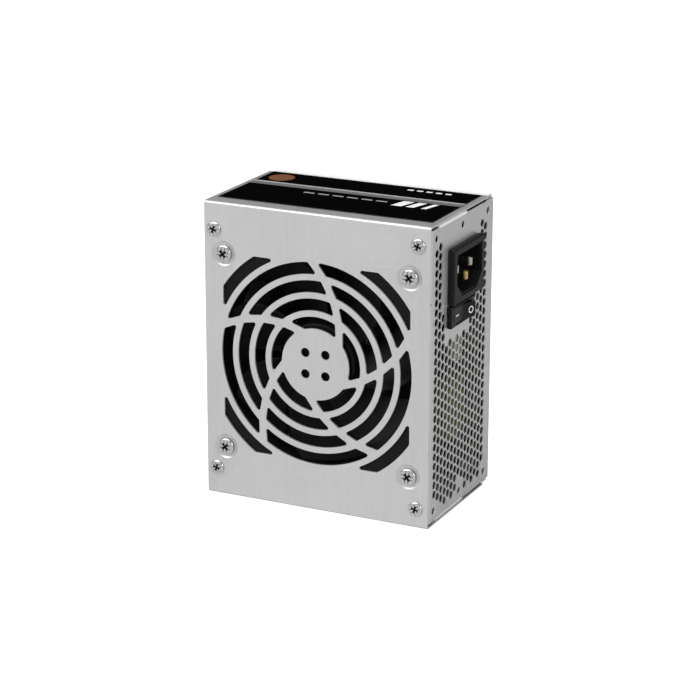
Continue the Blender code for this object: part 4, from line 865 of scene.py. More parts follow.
def make_cover(settings):
    """The fan face and both narrow sides, with grille slots, screw holes and dimples round the fan screws."""
    lap_end = COVER_HIGH.y
    drop = SHEET + GAP
    step_y = BACK - LAP_START
    lap_y = step_y + LAP_SLOPE
    path = (
        [Vector((lap_end, TOP - drop)), Vector((lap_y, TOP - drop))]
        + folded([(step_y, TOP), (FRONT, TOP), (FRONT, 0), (step_y, 0)])
        + [Vector((lap_y, drop)), Vector((lap_end, drop))]
    )
    bm = bmesh.new()
    add_folded_sheet(
        bm, path, lambda p: (-HALF_WIDTH, p.x, p.y), (2 * HALF_WIDTH, 0, 0), (0, BACK, MIDDLE)
    )
    cover = in_order(object_from("cover_sheet", bm))
    thicken(cover)
    cut(cover, plate(grille_outlines(settings), 4 * SHEET, FACE_FAN_SIDE, (0, FRONT, MIDDLE)))
    fan_screws = [centre_of(node) for node in nodes_like("fan_screw")]
    bores = [(centre_of(node), CASE_SCREW_HOLE) for node in nodes_like("case_screw")]
    bores += [(centre, FAN_SCREW_HOLE) for centre in fan_screws]
    for across in (-HUB_HOLE_PLACE, HUB_HOLE_PLACE):
        for up in (-HUB_HOLE_PLACE, HUB_HOLE_PLACE):
            bores.append((Vector((across, FRONT, MIDDLE + up)), HUB_HOLE))
    holes = bmesh.new()
    for centre, radius in bores:
        add_rod(holes, (centre.x, FRONT - SHEET, centre.z), (centre.x, FRONT + 3 * SHEET, centre.z), radius)
    panel = HALF_WIDTH - SHEET - 2 * GAP
    for across in (-1, 1):
        inner, outer = sorted((across * panel, across * (HALF_WIDTH + SHEET)))
        add_box(holes, (inner, step_y - GAP, -SHEET), (outer, BACK, 3 * SHEET))
        add_box(holes, (inner, step_y - GAP, TOP - 3 * SHEET), (outer, BACK, TOP + SHEET))
    cut(cover, holes)
    dimples = bmesh.new()
    for centre in fan_screws:
        front = (centre.x, FRONT - DIMPLE_DEPTH / 2, centre.z)
        floor = (centre.x, FRONT + DIMPLE_DEPTH, centre.z)
        add_rod(dimples, front, floor, DIMPLE_FLOOR + 0.0010, 64, DIMPLE_FLOOR)
    cut(cover, dimples)
    merge_flats(cover)
    round_edges(cover, settings.edge_round, 2, 28)
    hand_over(cover, steel_sheet(settings), ["fan_cover"], angle=28)


def vent_points(settings):
    """The vent's lattice, left out round the tapped holes, the inlet and the switch."""
    column_pitch = settings.vent_pitch * math.cos(math.radians(30))
    inlet_low, inlet_high = corners("inlet_housing")
    switch_low, switch_high = corners("switch_housing")
    rim = settings.vent_flats / 2
    places = []
    beside = rim + INLET_BORDER
    for column in range(VENT_COLUMNS):
        y = FRONT + VENT_CENTRE + (column - VENT_COLUMNS // 2) * column_pitch
        z = VENT_MARGIN + (settings.vent_pitch / 2 if column % 2 == 0 else 0)
        while z < TOP - VENT_MARGIN:
            by_hole = any(math.hypot(y - hole[0], z - hole[1]) < TAPPED_BORDER for hole in tapped_holes())
            by_inlet = inlet_low.y - beside < y < inlet_high.y + beside and z > inlet_low.z - rim
            overlap = rim - SWITCH_OVERLAP
            beside_switch = switch_low.y - overlap < y < switch_high.y + overlap
            if not (by_hole or by_inlet or (beside_switch and z > switch_low.z - rim - SWITCH_BORDER)):
                places.append((HALF_WIDTH, y, z))
            z += settings.vent_pitch
    return places


def tapped_holes():
    inset = TAPPED_INSET
    return [(y, z) for y in (FRONT + inset, 0, BACK - inset) for z in (inset, TOP - inset)]


def make_tray(settings):
    """The back plate and both end panels, with the vent, flanges, tabs and the lips over the cover."""
    flange_y = FRONT + SHEET + GAP
    low, high = SHEET + GAP + FOLD_RADIUS * 0.7, TOP - SHEET - GAP - FOLD_RADIUS * 0.7
    right = [(HALF_WIDTH - FLANGE_WIDTH, flange_y), (HALF_WIDTH, flange_y), (HALF_WIDTH, BACK)]
    left = [(-HALF_WIDTH, BACK), (-HALF_WIDTH, flange_y), (FLANGE_WIDTH - HALF_WIDTH, flange_y)]
    bm = bmesh.new()
    add_folded_sheet(bm, folded(right + left), lambda p: (p.x, p.y, low), (0, 0, high - low), (0, 0, MIDDLE))
    tray = in_order(object_from("tray_sheet", bm))
    thicken(tray, VENT_SHEET)
    pattern = points_object("vent_pattern", vent_points(settings))
    run_tree(
        tray,
        perforation_tree(),
        {
            "Pattern": pattern,
            "Corner Radius": settings.vent_flats / 2 / math.cos(math.radians(30)),
            "Depth": 6 * SHEET,
            "Material": steel_sheet(settings),
        },
    )
    bpy.data.objects.remove(pattern)
    cut(tray, tray_openings(flange_y))
    merge_flats(tray)
    round_edges(tray, settings.edge_round, 1, 28)

    strips = bmesh.new()
    for level, up in ((0, -1), (TOP, 1)):
        # Each strip's face lies a hair inside the sheet's, so that no two faces share a plane.
        rear = BACK - STRIP_INSET
        lip = folded([(BACK - LIP_LENGTH, level), (rear, level), (rear, level - up * LIP_DROP)])
        reach = HALF_WIDTH - FOLD_RADIUS
        inside = (0, BACK - 0.006, level - up * 0.006)
        add_folded_sheet(strips, lip, lambda p: (-reach, p.x, p.y), (2 * reach, 0, 0), inside)
        for across in (-1, 1):
            edge = level - up * (SHEET + GAP / 6)
            panel = across * (HALF_WIDTH - STRIP_INSET)
            tip = across * (HALF_WIDTH - TAB_WIDTH)
            tab = folded([(tip, edge), (panel, edge), (panel, edge - up * TAB_DROP)])
            inside = (across * (HALF_WIDTH - 0.004), 0, edge - up * 0.004)
            start = FRONT + TAB_START
            add_folded_sheet(strips, tab, lambda p: (p.x, start, p.y), (0, TAB_LENGTH, 0), inside)
    tabs = in_order(object_from("tray_strips", strips))
    thicken(tabs)
    round_edges(tabs, settings.edge_round, 2, 28)
    plates = bmesh.new()
    add_screw_plates(plates, flange_y)
    wide = object_from("tray_plates", plates)
    round_edges(wide, settings.edge_round, 2, 28)
    join(tray, tabs, wide)
    hand_over(tray, steel_sheet(settings), ["base_tray"], angle=28)


def join(target, *others):
    bm = bmesh.new()
    for obj in (target, *others):
        bm.from_mesh(obj.data)
    bm.to_mesh(target.data)
    bm.free()
    for obj in others:
        bpy.data.objects.remove(obj)


def add_screw_plates(bm, flange_y):
    """The widened flange corners that the case screws hold."""
    for across in (-1, 1):
        inner, outer = sorted((across * (HALF_WIDTH - PLATE_INSET), across * (HALF_WIDTH - PLATE_OVERLAP)))
        for low, high in ((PLATE_START, PLATE_END), (TOP - PLATE_END, TOP - PLATE_START)):
            add_box(bm, (inner, flange_y, low), (outer, flange_y + SHEET, high))


def tray_openings(flange_y):
    bm = bmesh.new()
    inner, outer = HALF_WIDTH - 3 * SHEET, HALF_WIDTH + SHEET
    for y, z in tapped_holes():
        add_rod(bm, (inner, y, z), (outer, y, z), TAPPED_HOLE, 40)
    inlet, switch = centre_of("inlet_housing"), centre_of("switch_housing")
    for centre, width, height in ((inlet, *INLET_OPENING), (switch, *SWITCH_OPENING)):
        low = (inner, centre.y - width / 2, centre.z - height / 2)
        add_box(bm, low, (outer, centre.y + width / 2, centre.z + height / 2))
    outlet = centre_of("cable_outlet_bush")
    add_rod(bm, (-inner, outlet.y, outlet.z), (-outer, outlet.y, outlet.z), OUTLET_OPENING, 64)
    for across in (-1, 1):
        x_low, x_high = sorted((across * inner, across * outer))
        for place in NOTCH_PLACES:
            y = FRONT + place
            for z_low, z_high in ((-SHEET, NOTCH_DEPTH), (TOP - NOTCH_DEPTH, TOP + SHEET)):
                add_box(bm, (x_low, y - NOTCH_HALF, z_low), (x_high, y + NOTCH_HALF, z_high))
        # The far corner is cut back where the back plate's lip turns.
        for z_low, z_high in ((-SHEET, 0.0030), (TOP - 0.0030, TOP + SHEET)):
            add_box(bm, (x_low, BACK - 0.0022, z_low), (x_high, BACK - 0.0010, z_high))
        for notch in (FLANGE_NOTCH, TOP - 0.0320):
            tip = sorted((across * (HALF_WIDTH - FLANGE_NOTCH_DEPTH), across * (HALF_WIDTH + SHEET)))
            add_box(bm, (tip[0], flange_y - SHEET, notch), (tip[1], flange_y + 0.0011, notch + 0.0010))
        # The side tabs replace the panel's plain edge between the first two notches.
        for z_low, z_high in ((-SHEET, 0.0022), (TOP - 0.0022, TOP + SHEET)):
            add_box(bm, (x_low, FRONT + 0.0080, z_low), (x_high, FRONT + 0.0360, z_high))
    return bm


# Label


def make_label(settings):
    """Black film with a printed border, a metallic band, plain slanted bars, ruled lines and a round badge."""
    low, high = corners("side_label")
    film = bmesh.new()
    add_box(film, low, high)
    film = object_from("label_film", film)
    merge_flats(film)
    hand_over(
        film,
        surface("label_film", settings.label, 0.4, 0.0, "grain", 900.0, 0.1, 0.06, 0.002, specular=0.0),
        ["side_label"],
    )
    top = high.z
    silver = surface("label_silver", settings.stripe, 0.35, 0.6, "grain", 1500.0, 0.1, 0.05, 0.002)
    light = surface("label_light_line", (0.72, 0.72, 0.72), 0.35, 0.4, "grain", 1500.0, 0.1, 0.05, 0.002)
    white = surface("label_white_ink", (0.85, 0.85, 0.85), 0.45, 0.0, "grain", 1500.0, 0.05, 0.05, 0.002)
    grey = surface("label_grey_ink", (0.35, 0.35, 0.35), 0.5, 0.0, "grain", 1500.0, 0.05, 0.05, 0.002)
    bronze = surface("label_badge", settings.badge, 0.35, 0.5, "grain", 2500.0, 0.3, 0.1, 0.004)
    printed_boxes("label_band", [(low.x, FRONT + 0.0344, high.x, FRONT + 0.0385)], top, silver)
    printed_boxes("label_band_line", [(low.x, FRONT + 0.0385, high.x, FRONT + 0.0398)], top, light)
    line = 0.0004
    border = [
        (low.x, low.y, high.x, low.y + line),
        (low.x, high.y - line, high.x, high.y),
        (high.x - line, low.y, high.x, high.y),
        (low.x, low.y, low.x + line, high.y),
    ]
    printed_boxes("label_border", border, top, silver)
    slants = []
    for number, width in enumerate((0.0046, 0.0034, 0.0022)):
        x = 0.0212 + number * 0.0066
        y_low, y_high = FRONT + 0.0250, FRONT + 0.0334
        slants.append([(x, y_low), (x + width, y_low), (x + width + 0.0022, y_high), (x + 0.0022, y_high)])
    print_shapes("label_mark", slants, top, white)
    rules = [(-0.0195 + 0.0065 * n, FRONT + 0.0284, -0.0147 + 0.0065 * n, FRONT + 0.0296) for n in range(6)]
    printed_boxes("label_rules", rules, top, grey)
    ticks = [(0.0168 + 0.0042 * n, FRONT + 0.0506, 0.0194 + 0.0042 * n, FRONT + 0.0522) for n in range(5)]
    printed_boxes("label_ticks", ticks, top, white)
    centre = (-0.0393, FRONT + 0.0477)
    disc = [tuple(p) for p in arc(0.0055, 0, 2 * math.pi, 48, centre)[:-1]]
    print_shapes("label_badge", [disc], top, bronze)


INK = 0.00003


def print_shapes(name, outlines, top, material):
    shapes = [[Vector(p) for p in outline] for outline in outlines]
    bm = plate(shapes, INK, Matrix.Identity(4), (0, 0, top + INK / 2))
    hand_over(object_from(name, bm), material)


def printed_boxes(name, boxes, top, material):
    outlines = [[(x1, y1), (x2, y1), (x2, y2), (x1, y2)] for x1, y1, x2, y2 in boxes]
    print_shapes(name, outlines, top, material)


# Screws


def screw_shape(head_radius, head_height, radius, reach):
    """A pan-head screw along Y with a tapered cross recess painted near black as shade, its origin under the
    head.
    """
    dome = 6
    profile = [Vector((0.0, reach)), Vector((radius * 0.6, reach)), Vector((radius, reach - radius * 0.8))]
    profile += [Vector((radius, 0.0)), Vector((head_radius * 0.96, 0.0))]
    profile.append(Vector((head_radius, -head_height * 0.12)))
    for i in range(dome + 1):
        angle = math.pi / 2 * i / dome
        rise = head_height * (0.35 + 0.55 * math.sin(angle))
        profile.append(Vector((head_radius * (0.74 + 0.26 * math.cos(angle)), -rise)))
    profile.append(Vector((0.0, -head_height)))
    shaft = turned([(0, p.y, p.x) for p in profile], (0, 1, 0), 48)
    screw = in_order(object_from("screw_shape", shaft))
    wide = head_radius * 0.56
    for lengthwise in (True, False):
        arm = bmesh.new()
        narrow = head_radius * 0.14
        for depth, shrink in ((-head_height * 1.2, 1.0), (head_height * 0.6, 0.40)):
            x, z = (wide * shrink, narrow) if lengthwise else (narrow, wide * shrink)
            for corner_x, corner_z in ((-x, -z), (x, -z), (x, z), (-x, z)):
                arm.verts.new((corner_x, depth, corner_z))
        bmesh.ops.convex_hull(arm, input=arm.verts)
        cut(screw, arm)
    round_edges(screw, head_radius * 0.015, 2, 40)
    smooth(screw, 40)
    screw.data.materials.append(bright_screw())
    # The recess's faces get a near-black second material: painted shade standing in for the shadow inside the
    # cross.
    screw.data.materials.append(surface("screw_recess_shade", (0.02, 0.02, 0.02), 0.7, 0.3))
    for face in screw.data.polygons:
        off_axis = math.hypot(face.center.x, face.center.z)
        if -0.93 * head_height < face.center.y < 0.7 * head_height and off_axis < wide * 0.98:
            face.material_index = 1
    return screw


def make_screws():
    tree = copies_tree()
    kinds = (
        ("case_screw", "case_screws", (0.0031, 0.0009, 0.0015, 0.0042), 0.3),
        ("fan_screw", "fan_screws", (0.0036, 0.0010, 0.0021, 0.0095), 0.9),
    )
    for start, name, sizes, turn in kinds:
        nodes = nodes_like(start)
        shape = screw_shape(*sizes)
        places = []
        for node in nodes:
            centre = centre_of(node)
            places.append((centre.x, FRONT - GAP / 3, centre.z))
        screws = points_object(name, places)
        run_tree(screws, tree, {"Piece": shape, "Turn": (0, turn, 0), "Material": bright_screw()})
        bpy.data.objects.remove(shape)
        hand_over(screws, bright_screw(), nodes, angle=40)


# Fan


def make_fan(settings):
    black = plastic("fan_plastic", tuple(settings.plastic), 0.45, 0.01)
    refined("fan_frame", black, 0.0004, 2)
    make_rotor(settings, black)
    steel = surface("ground_steel", (0.6, 0.6, 0.62), 0.2, 1.0)
    refined("fan_shaft", steel, 0.0002, 2, "impeller")
    bronze = surface("bearing_bronze", (0.5, 0.33, 0.15), 0.4, 1.0, tone=0.3)
    refined("fan_bearing", bronze, 0.0002)


def make_rotor(settings, black):
    """The hub cup with swept, pitched blades, each a soft-edged thin solid."""
    low, high = corners("fan_rotor")
    tip = (high.x - low.x + high.z - low.z) / 4
    front, rear = low.y, high.y
    hub, wall = 0.0165, 0.0012
    profile = [(0, front + 2 * wall), (hub - wall, front + 2 * wall), (hub - wall, rear), (hub, rear)]
    profile += [(hub - 0.0008 + p.x, front + 0.0008 - p.y) for p in arc(0.0008, 0, math.pi / 2, 5)]
    profile += [(0, front)]
    bm = turned([(0, y, radius) for radius, y in profile], (0, 1, 0), 64)
    for number in range(settings.blades):
        turn = number * 2 * math.pi / settings.blades
        add_blade(bm, settings, turn, (hub - wall / 2, tip), (front + wall, rear))
    bmesh.ops.translate(bm, vec=(0, 0, MIDDLE), verts=bm.verts)
    rotor = in_order(object_from("fan_impeller", bm), twisted=True)
    round_edges(rotor, 0.00025, 2, 50)
    hand_over(rotor, black, ["fan_rotor"], "impeller", 45)


def add_blade(bm, settings, turn, span, depth):
    """One blade: swept back along its span and pitched along its chord."""
    grid = bmesh.ops.create_grid(bm, x_segments=12, y_segments=8, size=0.5)["verts"]
    thickness = settings.blade_thickness
    for vert in grid:
        along, across = vert.co.x + 0.5, vert.co.y
        radius = span[0] + (span[1] - span[0]) * along
        chord = math.radians(44 - 8 * along)
        angle = turn + math.radians(20) * along**2 + chord * across
        pitch = across + 0.25 * (0.25 - across**2)
        level = (depth[0] + depth[1]) / 2 + (depth[1] - depth[0] - thickness) * pitch
        vert.co = (radius * math.cos(angle), level, radius * math.sin(angle))
    bm.normal_update()
    made = bmesh.ops.solidify(bm, geom=list({f for v in grid for f in v.link_faces}), thickness=thickness)
    faces = {f for v in made["geom"] if isinstance(v, bmesh.types.BMVert) for f in v.link_faces}
    bmesh.ops.recalc_face_normals(bm, faces=list(faces | {f for v in grid for f in v.link_faces}))


def refined(node, material, width, segments=2, body="case", angle=35):
    """A copy of a CAD node's shape with rounded edges and a finished surface."""
    obj = bpy.data.objects.new(f"{node}_finished", frame["nodes"][node].data.copy())
    bpy.context.scene.collection.objects.link(obj)
    merge_flats(obj)
    round_edges(obj, width, segments, angle)
    return hand_over(obj, material, [node], body, angle)


# Mains inlet and switch


def make_inlet(settings):
    black = plastic("inlet_plastic", tuple(settings.inlet), 0.38, 0.02)
    low, high = corners("inlet_housing")
    centre = (low + high) / 2
    rim = HALF_WIDTH + GAP / 2
    proud = high.x
    bm = bmesh.new()
    add_box(bm, (rim, low.y, low.z), high)
    housing = object_from("mains_inlet", bm)
    round_edges(housing, 0.0009, 3)
    half_width, half_height = 0.0137, 0.00995
    body = bmesh.new()
    near = (low.x, centre.y - half_width, centre.z - half_height)
    add_box(body, near, (proud - 0.0015, centre.y + half_width, centre.z + half_height))
    cut(housing, body, "UNION")
    mouth = mouth_outline(0.02330, 0.0165, 0.0050)
    cut(housing, plate([mouth], 0.032, FACE_INLET_SIDE, (proud, centre.y, centre.z)))
    # A shallow step frames the mouth.
    step = mouth_outline(0.0249, 0.0181, 0.0053)
    cut(housing, plate([step], 0.0012, FACE_INLET_SIDE, (proud, centre.y, centre.z)))
    slots = bmesh.new()
    for node in ("inlet_live_pin", "inlet_neutral_pin", "inlet_earth_pin"):
        pin_low, pin_high = corners(node)
        margin = Vector((0, 0.0002, 0.0002))
        add_box(slots, pin_low - margin, pin_high + margin)
    cut(housing, slots)
    merge_flats(housing)
    round_edges(housing, 0.0002, 2, 35)
    hand_over(housing, black, ["inlet_housing"])
    gold = surface("plated_earth_blade", (0.62, 0.42, 0.16), 0.26, 1.0, "grain", 1800.0, 0.08, 0.12, 0.004)
    for node in ("inlet_live_pin", "inlet_neutral_pin", "inlet_earth_pin"):
        earth = node == "inlet_earth_pin"
        make_blade(node, gold if earth else tinned_blade())


def mouth_outline(width, height, chamfer):
    y, z = width / 2, height / 2
    corners = [(-y, z), (-y, chamfer - z), (chamfer - y, -z), (y - chamfer, -z), (y, chamfer - z), (y, z)]
    return rounded([Vector(corner) for corner in corners], 0.0007)


def make_blade(node, material):
    """A contact blade with a bevelled nose."""
    low, high = corners(node)
    bm = bmesh.new()
    add_box(bm, low, high)
    for vert in bm.verts:
        if vert.co.x > (low.x + high.x) / 2:
            centre = (low + high) / 2
            vert.co.y = centre.y + (vert.co.y - centre.y) * 0.6
            vert.co.z = centre.z + (vert.co.z - centre.z) * 0.8
    shoulder = high.x - 0.0012
    middle = (low + high) / 2
    shank = bmesh.new()
    add_box(shank, low, (shoulder, high.y, high.z))
    blade = object_from(f"{node}_blade", shank)
    for vert in bm.verts:
        if vert.co.x < middle.x:
            vert.co.x = shoulder - 0.0001
    nose = object_from("nose", bm)
    join(blade, nose)
    round_edges(blade, 0.0002, 2)
    hand_over(blade, material, [node])


def stadium(length_along, height):
    radius = height / 2
    reach = length_along / 2 - radius
    half = math.pi / 2
    return arc(radius, -half, half, 16, (reach, 0)) + arc(radius, half, 3 * half, 16, (-reach, 0))


def make_switch(settings):
    black = plastic("switch_plastic", tuple(settings.switch), 0.30, 0.01)
    low, high = corners("switch_housing")
    centre = (low + high) / 2
    bm = bmesh.new()
    add_box(bm, (HALF_WIDTH + GAP / 2, low.y, low.z), high)
    bezel = object_from("switch_bezel", bm)
    round_edges(bezel, 0.0007, 3)
    half_width, half_height = 0.0106, 0.00405
    body = bmesh.new()
    near = (low.x, centre.y - half_width, centre.z - half_height)
    add_box(body, near, (high.x - 0.001, centre.y + half_width, centre.z + half_height))
    cut(bezel, body, "UNION")
    cut(bezel, plate([stadium(0.0192, 0.0071)], 0.0160, FACE_INLET_SIDE, (high.x, centre.y, centre.z)))
    merge_flats(bezel)
    round_edges(bezel, 0.00018, 2, 35)
    hand_over(bezel, black, ["switch_housing"])
    make_rocker(settings, black)
    for node in ("switch_terminal_in", "switch_terminal_out"):
        refined(node, tinned_blade(), 0.0001)


def make_rocker(settings, black):
    """The rocker with its raised end and the two marks let into its faces, at rest pressed at the -Y end."""
    joint = next(j for j in frame["record"]["behaviour"]["joints"] if j["name"] == "rocker_tilt")
    pivot = Vector(joint["pos_m"])
    tilt = math.radians(joint["range_deg"][1] / 2)
    sweep, end_rise, middle_rise, foot, height = 0.0092, 0.0044, 0.0032, 0.0030, 0.0063
    side = arc(sweep, -math.asin(foot / sweep), math.asin(end_rise / sweep), 10)
    ridge = Vector((sweep * math.cos(math.asin(end_rise / sweep)), end_rise))
    hollow = []
    for i in range(1, 12):
        t = i / 6 - 1
        hollow.append(Vector((-ridge.x * t, middle_rise + (end_rise - middle_rise) * abs(t) ** 1.3)))
    outline = side + hollow + [Vector((-p.x, p.y)) for p in reversed(side)]
    side_on = Matrix(((0, 1, 0, 0), (1, 0, 0, 0), (0, 0, 1, 0), (0, 0, 0, 1)))
    rocker = object_from("power_rocker", plate([outline], 2 * height, side_on))
    cut(rocker, plate([stadium(2 * sweep, height)], 4 * height, FACE_INLET_SIDE), "INTERSECT")
    merge_flats(rocker)
    round_edges(rocker, 0.0004, 3, 40)
    turn = Matrix.Translation(pivot) @ Matrix.Rotation(-tilt, 4, "Z")
    rocker.data.transform(turn)
    hand_over(rocker, black, ["switch_rocker"], "rocker", 40)
    white = surface("rocker_mark", settings.mark, 0.45, 0.0, "grain", 1500.0, 0.05, 0.05, 0.0)
    slope = math.atan2(end_rise - middle_rise, ridge.x)
    stroke = settings.mark_width
    reach, half, place, radius = 0.0014, stroke / 2, 0.0052, 0.0015
    bar = [Vector(p) for p in ((-reach, -half), (reach, -half), (reach, half), (-reach, half))]
    place_mark("rocker_bar_mark", [bar], -place, slope, middle_rise, turn, white)
    ring = [arc(r, 0, 2 * math.pi, 40)[:-1] for r in (radius, radius - stroke)]
    place_mark("rocker_ring_mark", ring, place, slope, middle_rise, turn, white)


def place_mark(name, outlines, along, slope, rise, turn, material):
    lift = 0.00006
    tilt = Matrix.Rotation(slope if along < 0 else -slope, 4, "Z")
    height = rise + abs(along) * math.tan(slope) + lift / 2
    bm = plate(outlines, lift, FACE_INLET_SIDE)
    bmesh.ops.transform(bm, matrix=turn @ Matrix.Translation((height, along, 0)) @ tilt, verts=bm.verts)
    hand_over(object_from(name, bm), material, (), "rocker")


def make_outlet():
    black = (0.018, 0.018, 0.019)
    rubber = surface("bush_rubber", black, 0.7, 0.0, "grain", 1800.0, 0.2, 0.1, 0.02, dust=0.2)
    low, high = corners("cable_outlet_bush")
    centre = (low + high) / 2
    lip, bore, neck = (high.z - low.z) / 2, 0.0098, 0.0120
    outer_face, panel = low.x, -HALF_WIDTH - GAP
    profile = [(bore, high.x), (neck + 0.0007, high.x), (neck + 0.0010, -HALF_WIDTH + SHEET + GAP)]
    profile += [(neck, -HALF_WIDTH + SHEET + GAP), (neck, panel), (lip, panel)]
    radius = (panel - outer_face) * 0.6
    profile += [(lip - radius + p.x, outer_face + radius - p.y) for p in arc(radius, 0, math.pi / 2, 5)]
    profile += [(bore + radius - p.x, outer_face + radius - p.y) for p in arc(radius, math.pi / 2, 0, 5)]
    bm = turned([(x, 0, r) for r, x in profile], (1, 0, 0), 72, closed=True)
    bmesh.ops.translate(bm, vec=(0, centre.y, centre.z), verts=bm.verts)
    bush = in_order(object_from("cable_bush", bm))
    hand_over(bush, rubber, ["cable_outlet_bush"], angle=40)


# Inner parts


def make_windings(settings):
    copper = surface(
        "enamelled_copper", settings.copper, 0.28, 0.85, "grain", 1800.0, 0.25, 0.1, 0.004, coat=0.3
    )
    ring_tree, bobbin_tree = ring_winding_tree(), bobbin_winding_tree()
    for name in ("line_choke", "output_choke"):
        core_low, core_high = corners(f"{name}_core")
        outer, inner = (core_high.x - core_low.x) / 2, 0.0050
        coil = points_object(f"{name}_coil", [(0, 0, 0)])
        wire = settings.wire
        run_tree(
            coil,
            ring_tree,
            {
                "Ring Radius": (outer + inner) / 2,
                "Start": math.radians(120),
                "Sweep": math.radians(300),
                "Turns": settings.choke_turns,
                "Loop Width": outer - inner + 3 * wire,
                "Loop Height": core_high.z - core_low.z + 3 * wire,
                "Loop Corner": 0.0012,
                "Wire Radius": wire,
                "Material": copper,
            },
        )
        centre = (core_low + core_high) / 2
        coil.data.transform(Matrix.Translation(centre))
        hand_over(coil, copper, [f"{name}_winding"], angle=60)
    for name in ("main_transformer", "standby_transformer"):
        low, high = corners(f"{name}_winding")
        wire = settings.wire
        turns = int((high.z - low.z) / (2.02 * wire))
        bobbin = points_object(f"{name}_coil", [(0, 0, 0)])
        run_tree(
            bobbin,
            bobbin_tree,
            {
                "Pitch": (0, 0, 2.02 * wire),
                "Turns": turns,
                "Loop Width": high.x - low.x - 2 * wire,
                "Loop Height": high.y - low.y - 2 * wire,
                "Loop Corner": 0.002,
                "Wire Radius": wire,
                "Material": copper,
            },
        )
        bobbin.data.transform(Matrix.Translation(((low.x + high.x) / 2, (low.y + high.y) / 2, low.z + wire)))
        hand_over(bobbin, copper, [f"{name}_winding"], angle=60)
    refined("fan_stator", copper, 0.0006)


def make_board_parts(settings):
    """Every other inner part: its own shape with rounded edges and its own finish."""
    metal = {"metallic": 1.0, "tone": 0.1, "rough_change": 0.15, "bump": 0.008}
    plastics = {
        "circuit_board": ("board_laminate", tuple(settings.laminate), 0.40, 0.0002),
        "insulating_sheet": ("insulating_film", (0.06, 0.06, 0.055), 0.4, 0.00005),
        "line_choke_core": ("ferrite", (0.05, 0.05, 0.055), 0.55, 0.0006),
        "main_transformer_core": ("ferrite", (0.05, 0.05, 0.055), 0.55, 0.0003),
        "standby_transformer_core": ("ferrite", (0.05, 0.05, 0.055), 0.55, 0.0003),
        "output_choke_core": ("powder_core", (0.05, 0.22, 0.10), 0.5, 0.0006),
        "bulk_capacitor": ("capacitor_sleeve", (0.012, 0.012, 0.018), 0.3, 0.0004),
        "output_capacitor_1": ("capacitor_sleeve", (0.012, 0.012, 0.018), 0.3, 0.0003),
        "output_capacitor_2": ("capacitor_sleeve", (0.012, 0.012, 0.018), 0.3, 0.0003),
        "line_capacitor": ("film_capacitor", tuple(settings.film_box), 0.35, 0.0006),
        "fuse": ("fuse_sleeve", (0.5, 0.46, 0.38), 0.4, 0.0004),
    }
    for node, (slot, tint, roughness, width) in plastics.items():
        refined(node, surface(slot, tint, roughness, dust=0.2, bump=0.01), width)
    package = surface("moulded_package", (0.02, 0.02, 0.02), 0.5, bump=0.02, dust=0.3)
    for node in ["bridge_rectifier", *nodes_like("switching_transistor"), *nodes_like("output_rectifier")]:
        refined(node, package, 0.0003)
    aluminium = surface("heatsink_aluminium", (0.36, 0.36, 0.37), 0.32, base="rolled", scale=900.0, **metal)
    for node in ("primary_heatsink", "secondary_heatsink"):
        refined(node, aluminium, 0.0002)
    brass = surface("standoff_brass", (0.72, 0.55, 0.26), 0.3, **metal)
    for node in nodes_like("standoff"):
        refined(node, brass, 0.0002)
    for node in nodes_like("board_screw"):
        refined(node, bright_screw(), 0.0003)


def make_leads():
    """Insulated leads: the CAD tubes made round."""
    colours = {
        "live_lead": ("lead_brown", (0.16, 0.06, 0.03)),
        "switched_live_lead": ("lead_black", (0.015, 0.015, 0.016)),
        "fan_lead": ("lead_black", (0.015, 0.015, 0.016)),
        "neutral_lead": ("lead_blue", (0.03, 0.10, 0.35)),
        "earth_lead": ("lead_green_yellow", (0.25, 0.42, 0.05)),
    }
    for node, (slot, tint) in colours.items():
        obj = bpy.data.objects.new(f"{node}_round", frame["nodes"][node].data.copy())
        bpy.context.scene.collection.objects.link(obj)
        merge_flats(obj)
        soft = obj.modifiers.new("Round", "SUBSURF")
        soft.levels = soft.render_levels = 2
        settle(obj)
        hand_over(obj, surface(slot, tint, 0.4, bump=0.004, tone=0.1), [node], angle=70)


# Stage

ROOM_LIGHT = 0.55


